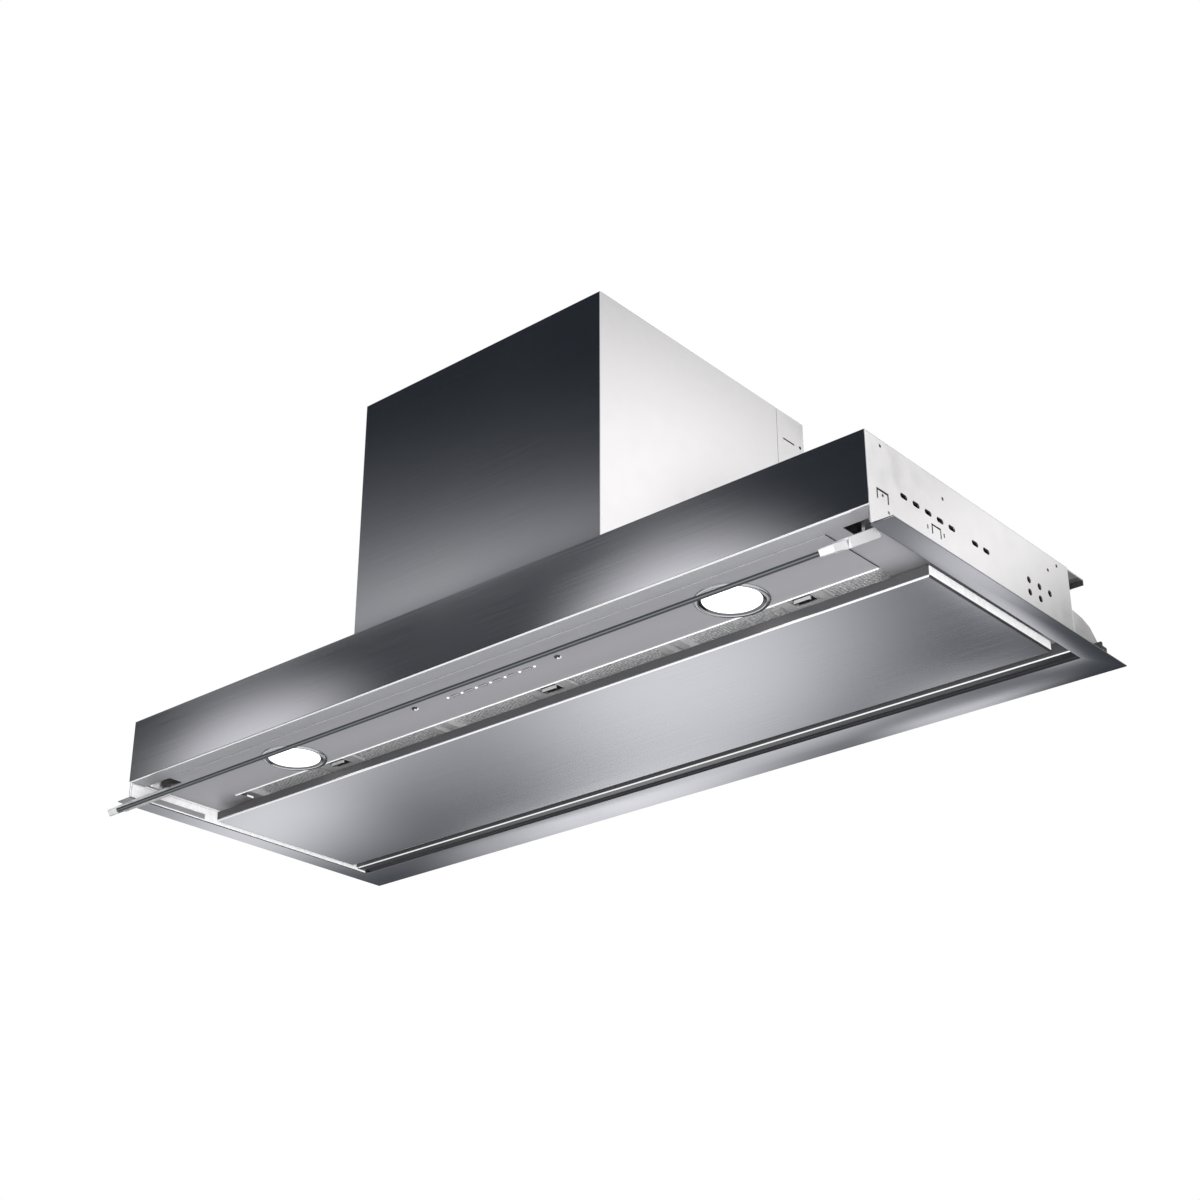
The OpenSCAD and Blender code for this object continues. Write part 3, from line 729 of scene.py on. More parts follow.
class HOOD_OT_flange(HoodPiece, bpy.types.Operator):
    """Flange round the opening, with its upstand and the ledge at the back"""

    bl_idname = "hood.flange"
    bl_label = "Flange"

    def make(self, sizes):
        r = sizes.fold_radius

        def side_fold(face):
            # but for the last face, which is nearly as upright as the upstand
            return folded("X", -1)(face) and abs(face.normal.x) < 0.98

        dress(
            "flange_frame",
            "flange",
            "brushed_under",
            [
                (fold("Y", x=OPENING_X, z=0), r * 0.8),
                (fold("X", y=REAR_STRIP_Y, z=0), r * 0.9),
                (fold("X", y=LEDGE_Y, z=LEDGE_Z), r * 1.1),
            ],
            faces=[
                (facing("X", x=span(0, OPENING_X + 0.7)), "enamel"),
                # painted shade: the side strips' folds at the opening have the darkest steel
                (side_fold, "dark"),
                # painted shade: the ledge's underside has darkened steel
                (facing("Z", -1, y=(LEDGE_Y, REAR_STRIP_Y - 0.3), z=span(LEDGE_Z, 1)), "shaded"),
                # painted highlight: the folds at the ledge and at the rear strip are lighter,
                # polished steel and white enamel
                (folded("Y", y=span(LEDGE_Y, 2)), "polished"),
                (folded("Y", y=span(REAR_STRIP_Y, 2)), "enamel"),
                # painted shade: the step at the rear strip and the ledge's front face have darkened
                # steel
                (facing("Y", -1, y=span(REAR_STRIP_Y, 0.8), z=(0, 3)), "shaded"),
                (facing("Y", -1, y=span(LEDGE_Y, 1), z=(LEDGE_Z, 30)), "dim"),
            ],
        )


class HOOD_OT_side_panels(HoodPiece, bpy.types.Operator):
    """Side panels with their holes and tongues, rear panel, top plate, gussets, ceiling"""

    bl_idname = "hood.side_panels"
    bl_label = "Side and rear panels"

    def make(self, sizes):
        r = sizes.fold_radius
        for side in ("left", "right"):
            dress(
                f"side_panel_{side}",
                f"side_sheet_{side}",
                "bright_sheet",
                [(fold("Y", x=BODY_X, z=BODY_TOP), r * 0.5)],
                faces=[
                    # painted shade: the top fold has darkened steel
                    (folded("X", 1), "shaded"),
                    (facing("X", 1 if side == "left" else -1), "enamel"),
                ],
            )
            dress(
                f"rear_gusset_{side}",
                f"gusset_{side}",
                "bright_sheet",
                least=0.005,
                # painted shade: the gussets' undersides have darkened steel
                faces=[(facing("Z", -1), "shaded")],
            )
        # painted shade: the rear panel's inner face has the darker satin steel
        dress("rear_panel", "rear_sheet", "bright_sheet", faces=[(facing("Y", -1), "satin")])
        dress("top_plate", "top_sheet", "bright_sheet")
        ob = block("wall_bar", WALL_BAR, 0.0003, "satin")
        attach(ob, "hood")
        dress("ledge_edging", "edging", "black_plastic", edge=0.0005)
        dress("gusset_clips", "clips", "black_plastic", edge=0.0005, least=0.003)
        dress("ceiling_plate", "ceiling", "brushed_under", faces=[(lambda f: True, "satin")])


# Light strip


def pan_head(name, centre, radius, height, socket, kind, down):
    """A pan-head screw, turned, with a round socket in its head. The front half of a
    head that looks down lies in shade, and is black."""
    rise = -height if down else height
    profile = [
        (0, 0),
        (radius, 0),
        (radius, 0.25 * rise),
        (0.93 * radius, 0.6 * rise),
        (0.75 * radius, 0.88 * rise),
        (0.6 * radius, rise),
        (socket, rise),
        (0.95 * socket, 0.35 * rise),
        (0, 0.3 * rise),
    ]
    ob = turned(name, centre, profile, 24)
    paint(ob, finish(kind))
    if down:
        # painted shade: the front half of a downward head is black
        recolour(ob, lambda f: f.center.y < centre.y + 0.0003, "black_plastic")
    smooth(ob, 50)
    return ob


class HOOD_OT_light_strip(HoodPiece, bpy.types.Operator):
    """Light strip with its screws, buttons and key lights"""

    bl_idname = "hood.light_strip"
    bl_label = "Light strip and controls"

    def make(self, sizes):
        ob = dress(
            "light_strip",
            "strip",
            "brushed_under",
            [(fold("X", y=STRIP_FRONT, z=LIP_Z), 0.0004)],
            edge=0,
            faces=[
                (facing("Z", -1, z=span(LIP_Z)), "satin"),
                # painted shade: the end faces, by the gaps at the strip's ends, have the darkest
                # steel
                (facing("X", x=span(-STRIP_END, 10)), "dark"),
                (facing("X", x=span(STRIP_END, 10)), "dark"),
            ],
        )
        # painted highlight: the turned rear edge is white enamel
        join("strip", [ob, block("hem", HEM, 0.0004, "enamel")])
        # painted highlight: the heads are white enamel, with their front half painted black as
        # shade
        heads = [
            pan_head(f"screw_{i}", mm(x, y, LIP_Z), 3.2, 1.4, 1.2, "enamel", True)
            for i, (x, y) in enumerate(SCREWS)
        ]
        fit(join("strip_screw_heads", heads), "strip_screws")
        for i in range(6):
            ob = copy_of(f"button_{i + 1}", f"key_{i + 1}_cap")
            bevel(ob, lambda e: near(middle(e).z, mm(0, 0, KEY_Z).z), 0.0004)
            paint(ob, finish("chrome"))
            smooth(ob)
            fit(ob, f"button_{i + 1}")
        ob = copy_of("key_lights", "key_lenses")
        bevel(ob, lambda e: near(middle(e).z, mm(0, 0, KEY_LIGHT_Z).z), 0.0001)
        paint(ob, finish("lamp_glass"))
        smooth(ob)
        fit(ob, "key_lights")


class HOOD_OT_lamps(HoodPiece, bpy.types.Operator):
    """Spot lamps: turned rims and ribbed lenses"""

    bl_idname = "hood.lamps"
    bl_label = "Spot lamps"

    def make(self, sizes):
        rim = [
            (31.25, 15.0), (31.25, 14.6), (31.05, 14.1), (30.6, 13.7), (29.95, 13.46),
            (29.2, 13.4), (28.0, 13.4), (27.5, 13.5), (27.1, 13.9), (26.4, 14.4),
            (25.2, 14.6), (24.55, 15.2), (24.55, 17.0), (27.0, 17.0), (27.0, 25.4),
            (28.6, 25.4), (28.6, 15.0), (31.25, 15.0),
        ]
        lens = [(0, 18.4), (27.0, 18.4), (27.0, 17.0), (24.45, 17.0), (24.45, 14.9), (24.0, 14.6)]
        # ring-shaped ribs, 4 mm from one to the next
        for i, r in enumerate(range(22, 1, -2)):
            lens.append((r, 14.4 if i % 2 else 14.65))
        lens.append((0, 14.4))
        for side, x in (("left", -LAMP_X), ("right", LAMP_X)):
            place = mm(x, LAMP_Y, 0)

            def shaded(face):
                return math.dist(face.center.xy, place.xy) < LAMP_OPENING / 1000

            ob = turned(f"lamp_ring_{side}", place, rim, 96)
            paint(ob, finish("chrome"))
            # painted shade: the rim's faces inside the opening have darkened steel
            recolour(ob, shaded, "shaded")
            smooth(ob, 35)
            fit(ob, f"lamp_rim_{side}")
            ob = turned(f"lamp_glass_{side}", place, lens, 72)
            paint(ob, finish("lamp_glass"))
            smooth(ob, 50)
            fit(ob, f"lamp_lens_{side}")


# Filters


def expanded_metal(name, low, high, sizes):
    """A sheet of expanded metal between two corners: one tilted diamond of strands and
    a second one beside it, both repeated along X and Y, cut to size and thickened."""
    long, short, strand = sizes.mesh_long, sizes.mesh_short, sizes.strand
    ob = primitive(
        name,
        bpy.ops.mesh.primitive_circle_add,
        vertices=4,
        radius=0.5,
        fill_type="NGON",
        location=(low.x, low.y, low.z),
    )
    ob.scale = (long, short, 1)
    settle(ob)
    pick(ob, "faces", lambda f: True)
    bpy.ops.mesh.inset(thickness=strand, use_boundary=True)
    bpy.ops.mesh.delete(type="FACE")
    bpy.ops.object.mode_set(mode="OBJECT")
    # the strands lean forwards: each opening's front corner goes down, its back one up
    for way in (-1, 1):
        pick(
            ob,
            "verts",
            lambda v: abs(v.co.x - low.x) < 0.2 * long
            and 0 < way * (v.co.y - low.y) < 0.45 * short,
        )
        bpy.ops.transform.translate(value=(0, 0, way * strand))
        bpy.ops.object.mode_set(mode="OBJECT")
    alone(ob)
    bpy.ops.object.duplicate()
    twin = bpy.context.object
    twin.location = (long / 2, short / 2, 0)
    settle(twin)
    ob = join(name, [ob, twin])
    for step, axis in ((long, 0), (short, 1)):
        alone(ob)
        bpy.ops.object.modifier_add(type="ARRAY")
        m = ob.modifiers[-1]
        m.count = math.ceil((high - low)[axis] / step) + 1
        m.use_relative_offset = False
        m.use_constant_offset = True
        m.constant_offset_displace = [step if a == axis else 0 for a in range(3)]
        m.use_merge_vertices = True
        m.merge_threshold = 0.00002
        bpy.ops.object.modifier_apply(modifier=m.name)
    bpy.ops.object.mode_set(mode="EDIT")
    bpy.ops.mesh.select_all(action="SELECT")
    bpy.ops.mesh.remove_doubles(threshold=0.00002)
    for point, normal in (
        (low, (-1, 0, 0)), (low, (0, -1, 0)), (high, (1, 0, 0)), (high, (0, 1, 0)),
    ):
        bpy.ops.mesh.select_all(action="SELECT")
        bpy.ops.mesh.bisect(plane_co=point, plane_no=normal, clear_outer=True)
    bpy.ops.object.mode_set(mode="OBJECT")
    alone(ob)
    bpy.ops.object.modifier_add(type="SOLIDIFY")
    m = ob.modifiers[-1]
    m.thickness = 0.0005
    m.offset = 0
    bpy.ops.object.modifier_apply(modifier=m.name)
    return ob


class HOOD_OT_filters(HoodPiece, bpy.types.Operator):
    """Grease filters: frames, expanded metal and sliding latches"""

    bl_idname = "hood.filters"
    bl_label = "Grease filters"

    def make(self, sizes):
        net = expanded_metal("filter_net_left", *(mm(*c) for c in NET), sizes)
        paint(net, finish("mesh"))
        nets = [net]
        for place in ("middle", "right"):
            alone(nets[-1])
            bpy.ops.object.duplicate()
            net = bpy.context.object
            net.name = net.data.name = f"filter_net_{place}"
            net.location.x = FILTER_STEP / 1000
            nets.append(settle(net))
        for net, place in zip(nets, ("left", "middle", "right")):
            fit(net, f"filter_mesh_{place}")
            dress(
                f"filter_frame_{place}",
                f"filter_rim_{place}",
                "aluminium",
                edge=0.0004,
                # painted light: the frames' lower and side faces are white enamel
                faces=[(facing("Z", -1), "enamel"), (facing("X"), "enamel")],
            )
            ob = copy_of(f"filter_latch_{place}", f"latch_slide_{place}")
            bevel(ob, lambda e: e.calc_length() > 0.0015, 0.0003)
            paint(ob, finish("enamel"))
            # painted shade: the latch's down-facing faces are black, as the shade in its window
            recolour(ob, facing("Z", -1), "black_plastic")
            smooth(ob)
            fit(ob, f"filter_latch_{place}")
        # painted shade: the deck's underside, seen through the mesh, has the darkest steel
        dress("filter_deck", "deck", "bright_sheet", edge=0, faces=[(facing("Z", -1), "dark")])


# Suction panel


class HOOD_OT_suction_panel(HoodPiece, bpy.types.Operator):
    """Perimeter suction panel with its stiffener, hinges and magnets"""

    bl_idname = "hood.suction_panel"
    bl_label = "Suction panel"

    def make(self, sizes):
        r = sizes.fold_radius

        def lower(e):
            return near(middle(e).z, mm(0, 0, PANEL_Z).z)

        def corner(e):
            return fold("Z", x=PANEL_X)(e) and e.calc_length() > 0.006

        dress(
            "suction_panel",
            "panel",
            "brushed_under",
            [(lower, r * 1.1), (corner, r * 0.4)],
            faces=[
                # painted shade: the faces at the front edge have dark steel
                (facing("Y", y=span(PANEL_FRONT, 1)), "dim"),
                # painted light: the side faces are white enamel, and the front and rear folds
                # lighter, polished steel
                (facing("X"), "enamel"),
                (folded("Y", y=span(PANEL_FRONT, 3), z=span(PANEL_Z, 2)), "polished"),
                (folded("Y", y=span(PANEL_BACK, 3), z=span(PANEL_Z, 2)), "polished"),
                # painted shade: the side folds that look down have the darkest steel
                (folded("X", -1), "dark"),
            ],
        )
        dress("panel_liner", "panel_stiffener", "bright_sheet", edge=0)
        dress("panel_hinges", "hinge_arms", "bright_sheet", edge=0)
        dress("panel_magnets", "magnets", "dark_iron", edge=0.0005, least=0.002)


# Visor


class HOOD_OT_visor(HoodPiece, bpy.types.Operator):
    """Tilting glass visor with its end clamps, pins and pivot brackets"""

    bl_idname = "hood.visor"
    bl_label = "Glass visor"

    def make(self, sizes):
        glass = tuple(bpy.context.scene.hood_finishes.glass)
        ob = copy_of("visor_glass", "visor_pane")
        bevel(ob, lambda e: along(e, "X") and e.calc_length() > 0.5, 0.0015)
        tilt = math.radians(VISOR_TILT)
        out = Vector((0, -math.cos(tilt), -math.sin(tilt)))
        # the front edge and its two rounded arrises have the glass's own colour
        arris = moulded("glass_arris", darker(glass, 0.2), 0.5)
        edge = moulded("glass_edge", glass, 0.4)
        paint(ob, finish("visor_glass"), edge, arris)
        for face in ob.data.polygons:
            lean = face.normal.dot(out)
            if face.area > 0.0004 and lean > 0.98:
                face.material_index = 1
            elif 0.2 < lean <= 0.98:
                face.material_index = 2
        smooth(ob, 25)
        fit(ob, "visor_glass")
        for side in ("left", "right"):
            dress(f"visor_clamp_{side}", f"clamp_{side}", "white_plastic", edge=0.0009)
            ob = copy_of(f"visor_pin_{side}", f"pin_{side}")
            bevel(ob, lambda e: not along(e, "X"), 0.0003)
            paint(ob, finish("polished"))
            smooth(ob, 50)
            fit(ob, f"visor_pin_{side}")
        dress("visor_brackets", "pivot_brackets", "bright_sheet", edge=0.0003, least=0.004)


# Fan box


class HOOD_OT_fan_box(HoodPiece, bpy.types.Operator):
    """Fan box: front cover, rear section, lid and cable inlet"""

    bl_idname = "hood.fan_box"
    bl_label = "Fan box"

    def make(self, sizes):
        r = sizes.fold_radius
        ob = copy_of("motor_cover", "cover")
        bevel(ob, fold("Z", x=BOX_X, y=BOX_FRONT), r * 0.7, 4)
        bevel(ob, fold("X", y=BOX_FRONT, z=BOX_TOP), r * 0.4, 3)
        bevel(ob, fold("Y", x=BOX_X, z=BOX_TOP), r * 0.4, 3)
        paint(ob, finish("brushed_front"))
        # painted light: the cover's sides have the brighter sheet, though they are one sheet with
        # its brushed front
        recolour(ob, lambda f: abs(f.normal.x) > 0.8, "bright_sheet")
        # painted shade: the top folds have the darker satin steel, as a grey line along them
        recolour(ob, folded("X", 1), "satin")
        smooth(ob)
        fit(ob, "motor_cover")
        dress(
            "rear_box",
            "rear_section",
            "bright_sheet",
            [(fold("Z", x=BOX_X, y=BOX_BACK), r * 0.6)],
            faces=[
                # painted shade: the face at the seam and the inner side faces have the darkest
                # steel
                (facing("Y", -1, y=span(BOX_SEAM)), "dark"),
                (facing("X", x=span(0, BOX_X - 0.6)), "dark"),
            ],
        )
        dress("box_lid", "lid", "bright_sheet")
        screws = [
            pan_head(f"lid_screw_{i}", mm(x, y, BOX_TOP), 3.8, 1.8, 1.5, "polished", False)
            for i, (x, y) in enumerate(LID_SCREWS)
        ]
        ob = join("lid_screws", screws)
        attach(ob, "hood")
        dress("cable_inlet", "cable_bush", "black_plastic", edge=0)
        dress("electronics_box", "electronics_case", "white_plastic", edge=0.0012)


class HOOD_OT_outlet(HoodPiece, bpy.types.Operator):
    """Outlet collar with its rolled beads, and its two flaps"""

    bl_idname = "hood.outlet"
    bl_label = "Outlet"

    def make(self, sizes):
        bead = sizes.collar_bead * 1000
        outer = [(85, 341.9), (85, 343.1), (84.7, 343.4), (76.4, 343.4), (75.2, 344.2), (75, 345.4)]
        inner = [(73.4, 341.9), (73.4, 345.4)]
        # two beads, rolled inwards
        for z in (362, 371):
            for rise, share in ((-2.4, 0), (-1.2, 0.55), (0, 1), (1.2, 0.55), (2.4, 0)):
                outer.append((75 - bead * share, z + rise))
                inner.append((73.4 - bead * share, z + rise))
        outer += [(75, 391.4), (74.6, 391.9)]
        inner += [(73.4, 391.5)]
        ob = turned("collar", mm(0, OUTLET_Y, 0), outer + inner[::-1] + [outer[0]], 96)
        paint(ob, finish("bright_sheet"))
        smooth(ob, 30)
        fit(ob, "outlet_collar")
        for s in ("front", "rear"):
            dress(f"flap_{s}", f"damper_{s}", "black_plastic", edge=0)


class HOOD_OT_inside(HoodPiece, bpy.types.Operator):
    """Finishes of the fan, the motor, the lamp bodies and the board, which stay as packed"""

    bl_idname = "hood.inside"
    bl_label = "Fan and inner parts"

    def make(self, sizes):
        for node, slot in (
            ("fan_housing", "bright_sheet"),
            ("fan_wheel", "dark_iron"),
            ("fan_shaft", "polished"),
            ("fan_motor", "dark_iron"),
            ("motor_arms", "bright_sheet"),
            ("lamp_body_left", "aluminium"),
            ("lamp_body_right", "aluminium"),
            ("control_board", "board"),
        ):
            paint(NODES[node], finish(slot))


# Studio


# A card below this strength is a dark one, whose own light is cool
DARK_CARD = 0.1
COOL = (0.8, 1.0, 1.2, 1)
NEUTRAL = (1, 1, 1, 1)

# Lit areas of the cards: centre and half size in metres, turn in degrees, strength. Each
# is named for what mirrors it.
FASCIA_GLOWS = (
    ((-2.946, 1.338), (0.647, 0.275), 0, 1.06),
    ((-1.412, 1.150), (0.628, 0.473), 25, 1.72),
    ((-3.117, 1.406), (3.000, 0.440), -1, 0.07),
    ((-3.172, 1.505), (0.549, 0.208), -13, 0.05),
)
BOX_FRONT_GLOWS = (
    ((-1.974, 1.346), (1.514, 0.603), 10, 0.5),
    ((-3.387, 1.2), (3.0, 1.231), -1, 0.489),
)
SIDE_GLOW = ((2.69, 1.696), (2.5, 0.43), 36, 1.0)
BOX_SIDE_GLOW = ((2.4, 1.66), (2.2, 1.2), 0, 1.08)
REAR_GLOW = ((-1.2, 2.4), (4.8, 2.9), 0, 0.5)
LEFT_GLOW = ((0.8, 2.2), (4.4, 2.8), 0, 0.5)
TOP_GLOW = ((1.0, 0.8), (3.4, 2.8), 0, 0.42)
PANEL_FAR_GLOW = ((-3.4, 1.932), (2.252, 0.386), -23, 0.76)
PANEL_LEFT_GLOW = ((-1.899, 0.927), (2.365, 1.6), 18, 0.57)
PANEL_MIDDLE_GLOW = ((-1.277, 1.669), (0.586, 1.167), 44, 0.62)
PANEL_SMALL_GLOW = ((-2.567, 1.707), (0.431, 0.598), 22, 0.29)
PANEL_RIGHT_GLOW = ((-0.543, 1.56), (0.14, 0.34), 3, 0.9)
REAR_STRIP_GLOWS = (
    ((-0.912, 2.103), (0.365, 0.189), -13, 1.3),
    ((-1.959, 2.104), (0.784, 0.201), -2, 1.4),
)
PANEL_GLOWS = PANEL_FAR_GLOW, PANEL_LEFT_GLOW, PANEL_MIDDLE_GLOW

# The cards: name, axis across, place on it, two corners in metres, own strength, glows.
# Dark ones stand before and under the hood, and plainer ones behind, left and on top.
CARDS = (
    ("card_front", "Y", -2.5, (-4.2, 0.55), (-0.2, 3.0), 0.03, FASCIA_GLOWS),
    ("card_cover", "Y", -2.49, (-3.4, 1.608), (-0.9, 2.8), 0.034, BOX_FRONT_GLOWS),
    ("card_side", "X", 2.0, (2.14, 1.1), (4.0, 1.9), 0.16, (SIDE_GLOW,)),
    ("card_box_low", "X", 2.0, (1.0, 1.1), (2.14, 1.9), 0.3, (BOX_SIDE_GLOW,)),
    ("card_box", "X", 2.0, (1.0, 1.9), (4.0, 3.0), 0.3, (BOX_SIDE_GLOW,)),
    ("card_rear", "Y", 4.4, (-4.6, -1.7), (5.0, 5.0), 0.36, (REAR_GLOW,)),
    ("card_left", "X", -4.7, (-5.0, -1.7), (4.3, 5.0), 0.3, (LEFT_GLOW,)),
    ("card_top", "Z", 4.0, (-4.6, -4.6), (4.6, 4.3), 0.42, (TOP_GLOW,)),
    (
        "card_under", "Z", -1.0, (-3.6, 0.7), (-0.6, 2.0), 0.05,
        (*PANEL_GLOWS, PANEL_SMALL_GLOW),
    ),
    (
        "card_under_right", "Z", -1.0, (-0.6, 0.7), (0.3, 2.0), 0.04,
        (PANEL_LEFT_GLOW, PANEL_RIGHT_GLOW),
    ),
    (
        "card_under_rear", "Z", -1.0, (-3.6, 2.0), (0.3, 2.8), 0.045,
        (*PANEL_GLOWS, *REAR_STRIP_GLOWS),
    ),
)

# Soft lights, which look at the row frame's zero: name, place, watts, size in metres
LIGHTS = (
    ("light_right", (2.6, 1.2, 1.6), 6, 2.0),
    ("light_left", (-2.4, -2.2, 1.4), 9, 2.4),
    ("light_low", (1.3, -1.65, -0.83), 52, 0.6),
)

FLOOR_Z = -1.8

# The photograph's viewpoint, and the directions of its right, its top and its view
CAMERA_PLACE = (1.12624, -1.43551, -0.68910)
CAMERA_RIGHT = Vector((0.75668, 0.65378, -0.00122))
CAMERA_UP = Vector((0.28640, -0.32980, 0.89956))
CAMERA_VIEW = Vector((-0.58771, 0.68103, 0.43680))
CAMERA_SENSOR = 36
CAMERA_LENS = 60.93


def card_light(name, across, at, base, glows):
    """The light of a card: its own strength, and more in each glow."""
    mat = bpy.data.materials.new(name)
    mat.use_nodes = True
    mat.cycles.emission_sampling = "NONE"
    tree = mat.node_tree
    tree.nodes.clear()
    out = tree.nodes.new("ShaderNodeOutputMaterial")
    both = tree.nodes.new("ShaderNodeAddShader")
    dusk = tree.nodes.new("ShaderNodeEmission")
    dusk.inputs["Color"].default_value = COOL if base < DARK_CARD else NEUTRAL
    dusk.inputs["Strength"].default_value = base
    glow = tree.nodes.new("ShaderNodeEmission")
    tree.links.new(dusk.outputs[0], both.inputs[0])
    tree.links.new(glow.outputs[0], both.inputs[1])
    tree.links.new(both.outputs[0], out.inputs[0])
    where = tree.nodes.new("ShaderNodeTexCoord")
    total = None
    for centre, half, turn, strength in glows:
        spot = tree.nodes.new("ShaderNodeMapping")
        spot.vector_type = "TEXTURE"
        place, scale, turns = [at, at, at], [1, 1, 1], [0, 0, 0]
        for i, n in enumerate(n for n in range(3) if n != across):
            place[n], scale[n] = centre[i], half[i]
        turns[across] = math.radians(turn)
        spot.inputs["Location"].default_value = place
        spot.inputs["Scale"].default_value = scale
        spot.inputs["Rotation"].default_value = turns
        tree.links.new(where.outputs["Object"], spot.inputs[0])
        ball = tree.nodes.new("ShaderNodeTexGradient")
        ball.gradient_type = "SPHERICAL"
        tree.links.new(spot.outputs[0], ball.inputs[0])
        ease = tree.nodes.new("ShaderNodeMapRange")
        ease.interpolation_type = "SMOOTHERSTEP"
        ease.inputs["To Max"].default_value = strength
        tree.links.new(ball.outputs[1], ease.inputs[0])
        add = tree.nodes.new("ShaderNodeMath")
        add.operation = "ADD"
        add.inputs[1].default_value = 0
        tree.links.new(ease.outputs[0], add.inputs[0])
        if total is not None:
            tree.links.new(total, add.inputs[1])
        total = add.outputs[0]
    tree.links.new(total, glow.inputs["Strength"])
    return mat


def card(name, axis, at, low, high, base, glows):
    """A soft card across an axis, which only reflections see."""
    across = "XYZ".index(axis)
    corners = []
    for corner in (low, high):
        point = list(corner)
        point.insert(across, at)
        corners.append(Vector(point))
    low, high = corners
    ob = primitive(name, bpy.ops.mesh.primitive_plane_add, size=1, location=(low + high) / 2)
    ob.rotation_euler = {
        "X": (0, math.pi / 2, 0), "Y": (math.pi / 2, 0, 0), "Z": (0, 0, 0)
    }[axis]
    size = high - low
    ob.scale = {
        "X": (size.z, size.y, 1), "Y": (size.x, size.z, 1), "Z": (size.x, size.y, 1)
    }[axis]
    settle(ob)
    paint(ob, card_light(name + "_light", across, at, base, glows))
    ob.visible_camera = False
    ob.visible_diffuse = False
    ob.visible_shadow = False
    ob.visible_transmission = False
    ob.visible_volume_scatter = False


def seen(tree, level_seen, level_lit):
    """One level to the camera and through metal and glass, another to matt surfaces."""
    ray = tree.nodes.new("ShaderNodeLightPath")
    total = ray.outputs["Is Camera Ray"]
    for kind in ("Is Glossy Ray", "Is Transmission Ray"):
        either = tree.nodes.new("ShaderNodeMath")
        either.operation = "MAXIMUM"
        tree.links.new(total, either.inputs[0])
        tree.links.new(ray.outputs[kind], either.inputs[1])
        total = either.outputs[0]
    level = tree.nodes.new("ShaderNodeMapRange")
    level.inputs["To Min"].default_value = level_lit
    level.inputs["To Max"].default_value = level_seen
    tree.links.new(total, level.inputs[0])
    return level.outputs[0]


def stage_floor():
    """Pale floor, which shows the camera a little light of its own."""
    floor = primitive(
        "floor", bpy.ops.mesh.primitive_plane_add, size=40, location=(0, 0, FLOOR_Z)
    )
    settle(floor)
    mat, tree, shader, where = new_material("floor_paper")
    paper = streaks(tree, where, (6.0,) * 3, 2.0)
    tree.links.new(tint(tree, paper.outputs[0], (0.9,) * 3, 0.99), shader.inputs["Base Color"])
    shader.inputs["Roughness"].default_value = 0.9
    shader.inputs["Emission Color"].default_value = (1, 1, 1, 1)
    tree.links.new(seen(tree, 0.3, 0.0), shader.inputs["Emission Strength"])
    paint(floor, mat)


def surround():
    """White surround, a little weaker where it lights matt surfaces."""
    world = bpy.data.worlds.new("surround")
    bpy.context.scene.world = world
    world.use_nodes = True
    world.cycles.sampling_method = "NONE"
    tree = world.node_tree
    tree.nodes.clear()
    out = tree.nodes.new("ShaderNodeOutputWorld")
    back = tree.nodes.new("ShaderNodeBackground")
    back.inputs["Color"].default_value = (1, 1, 1, 1)
    tree.links.new(seen(tree, 1.0, 0.75), back.inputs["Strength"])
    tree.links.new(back.outputs[0], out.inputs[0])


def light(name, place, power, size):
    """A soft area light that looks at the row frame's zero and isn't mirrored."""
    bpy.ops.object.light_add(type="AREA", location=place)
    lamp = bpy.context.object
    lamp.name = name
    lamp.data.energy = power
    lamp.data.size = size
    lamp.rotation_mode = "QUATERNION"
    lamp.rotation_quaternion = (-Vector(place)).to_track_quat("-Z", "Y")
    lamp.visible_glossy = False


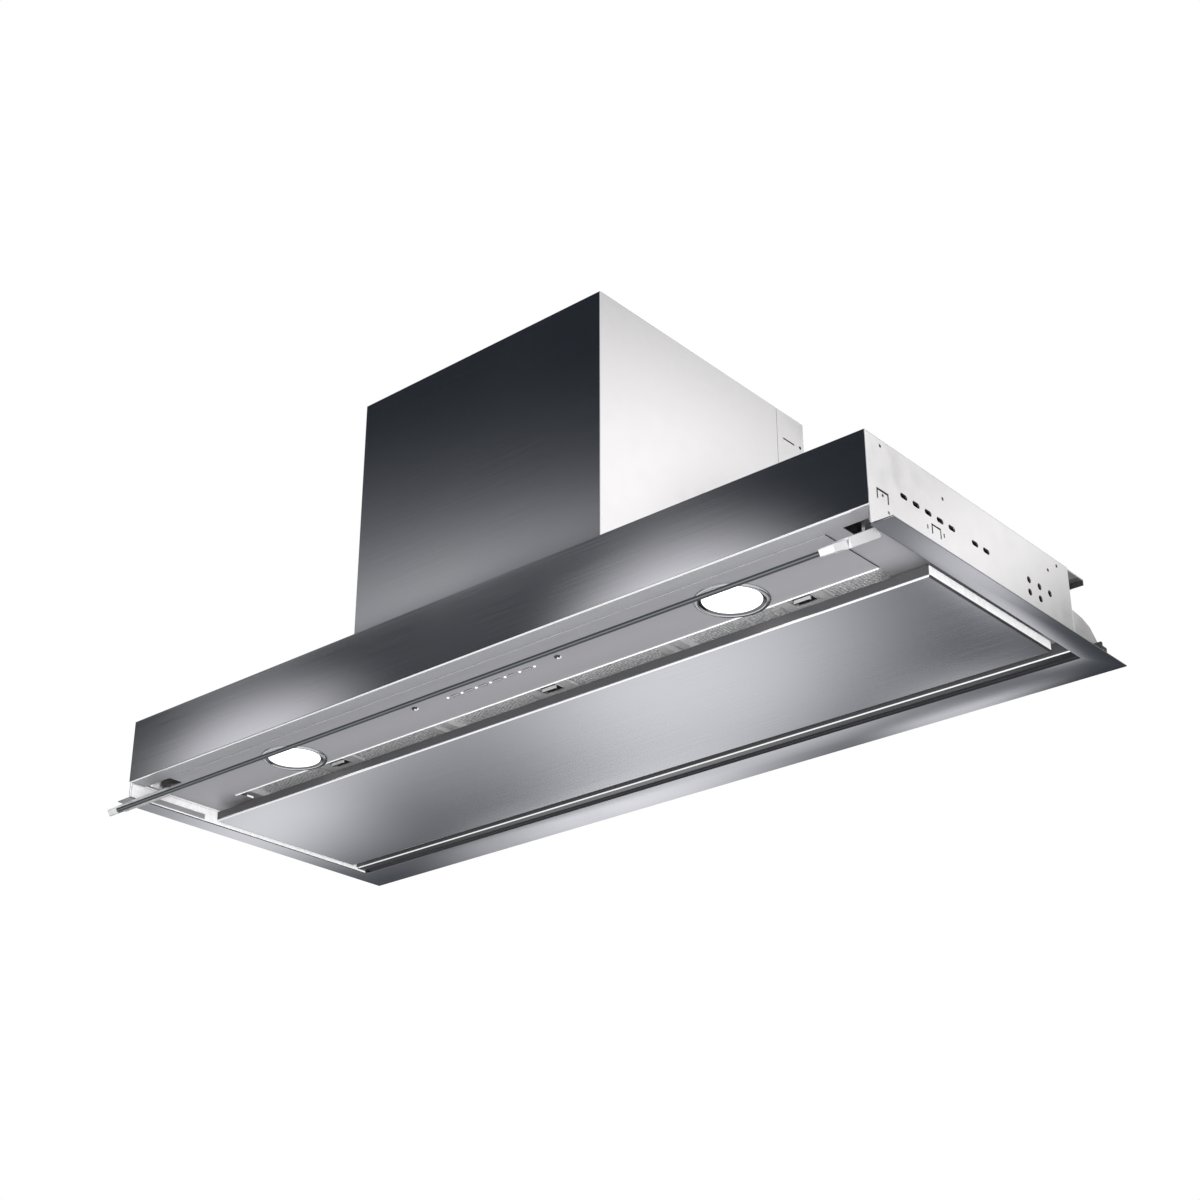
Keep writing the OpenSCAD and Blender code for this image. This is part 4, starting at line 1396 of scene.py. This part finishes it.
def camera():
    """The camera at the photograph's viewpoint."""
    bpy.ops.object.camera_add(location=CAMERA_PLACE)
    ob = bpy.context.object
    ob.name = "camera"
    ob.rotation_mode = "QUATERNION"
    turn = Matrix((CAMERA_RIGHT, CAMERA_UP, -CAMERA_VIEW)).transposed()
    ob.rotation_quaternion = turn.to_quaternion()
    ob.data.sensor_width = CAMERA_SENSOR
    ob.data.lens = CAMERA_LENS
    ob.data.clip_start, ob.data.clip_end = 0.05, 100
    bpy.context.scene.camera = ob


class HOOD_OT_studio(HoodPiece, bpy.types.Operator):
    """Floor, white surround, soft lights, reflector cards and the camera"""

    bl_idname = "hood.studio"
    bl_label = "Studio"

    def make(self, sizes):
        stage_floor()
        surround()
        for row in CARDS:
            card(*row)
        for row in LIGHTS:
            light(*row)
        camera()
        bpy.context.scene.view_settings.view_transform = "Standard"


OPERATORS = (
    HOOD_OT_fascia,
    HOOD_OT_flange,
    HOOD_OT_side_panels,
    HOOD_OT_light_strip,
    HOOD_OT_lamps,
    HOOD_OT_filters,
    HOOD_OT_suction_panel,
    HOOD_OT_visor,
    HOOD_OT_fan_box,
    HOOD_OT_outlet,
    HOOD_OT_inside,
    HOOD_OT_studio,
)


class HOOD_PT_panel(bpy.types.Panel):
    """Sidebar panel that lists the hood's pieces"""

    bl_idname = "HOOD_PT_panel"
    bl_label = "Canopy hood"
    bl_space_type = "VIEW_3D"
    bl_region_type = "UI"
    bl_category = "Hood"

    def draw(self, context):
        for group in (context.scene.hood_sizes, context.scene.hood_finishes):
            box = self.layout.box()
            for name in group.__annotations__:
                box.prop(group, name)
        for op in OPERATORS:
            self.layout.operator(op.bl_idname)


CLASSES = (HoodSizes, HoodFinishes, *OPERATORS, HOOD_PT_panel)


def register():
    for c in CLASSES:
        bpy.utils.register_class(c)
    bpy.types.Scene.hood_sizes = bpy.props.PointerProperty(type=HoodSizes)
    bpy.types.Scene.hood_finishes = bpy.props.PointerProperty(type=HoodFinishes)


def unregister():
    del bpy.types.Scene.hood_finishes
    del bpy.types.Scene.hood_sizes
    for c in reversed(CLASSES):
        bpy.utils.unregister_class(c)


def main():
    register()
    for op in OPERATORS:
        name = op.bl_idname.removeprefix("hood.")
        if getattr(bpy.ops.hood, name)() != {"FINISHED"}:
            raise RuntimeError(f"{op.bl_idname} did not finish")


if __name__ == "__main__":
    main()
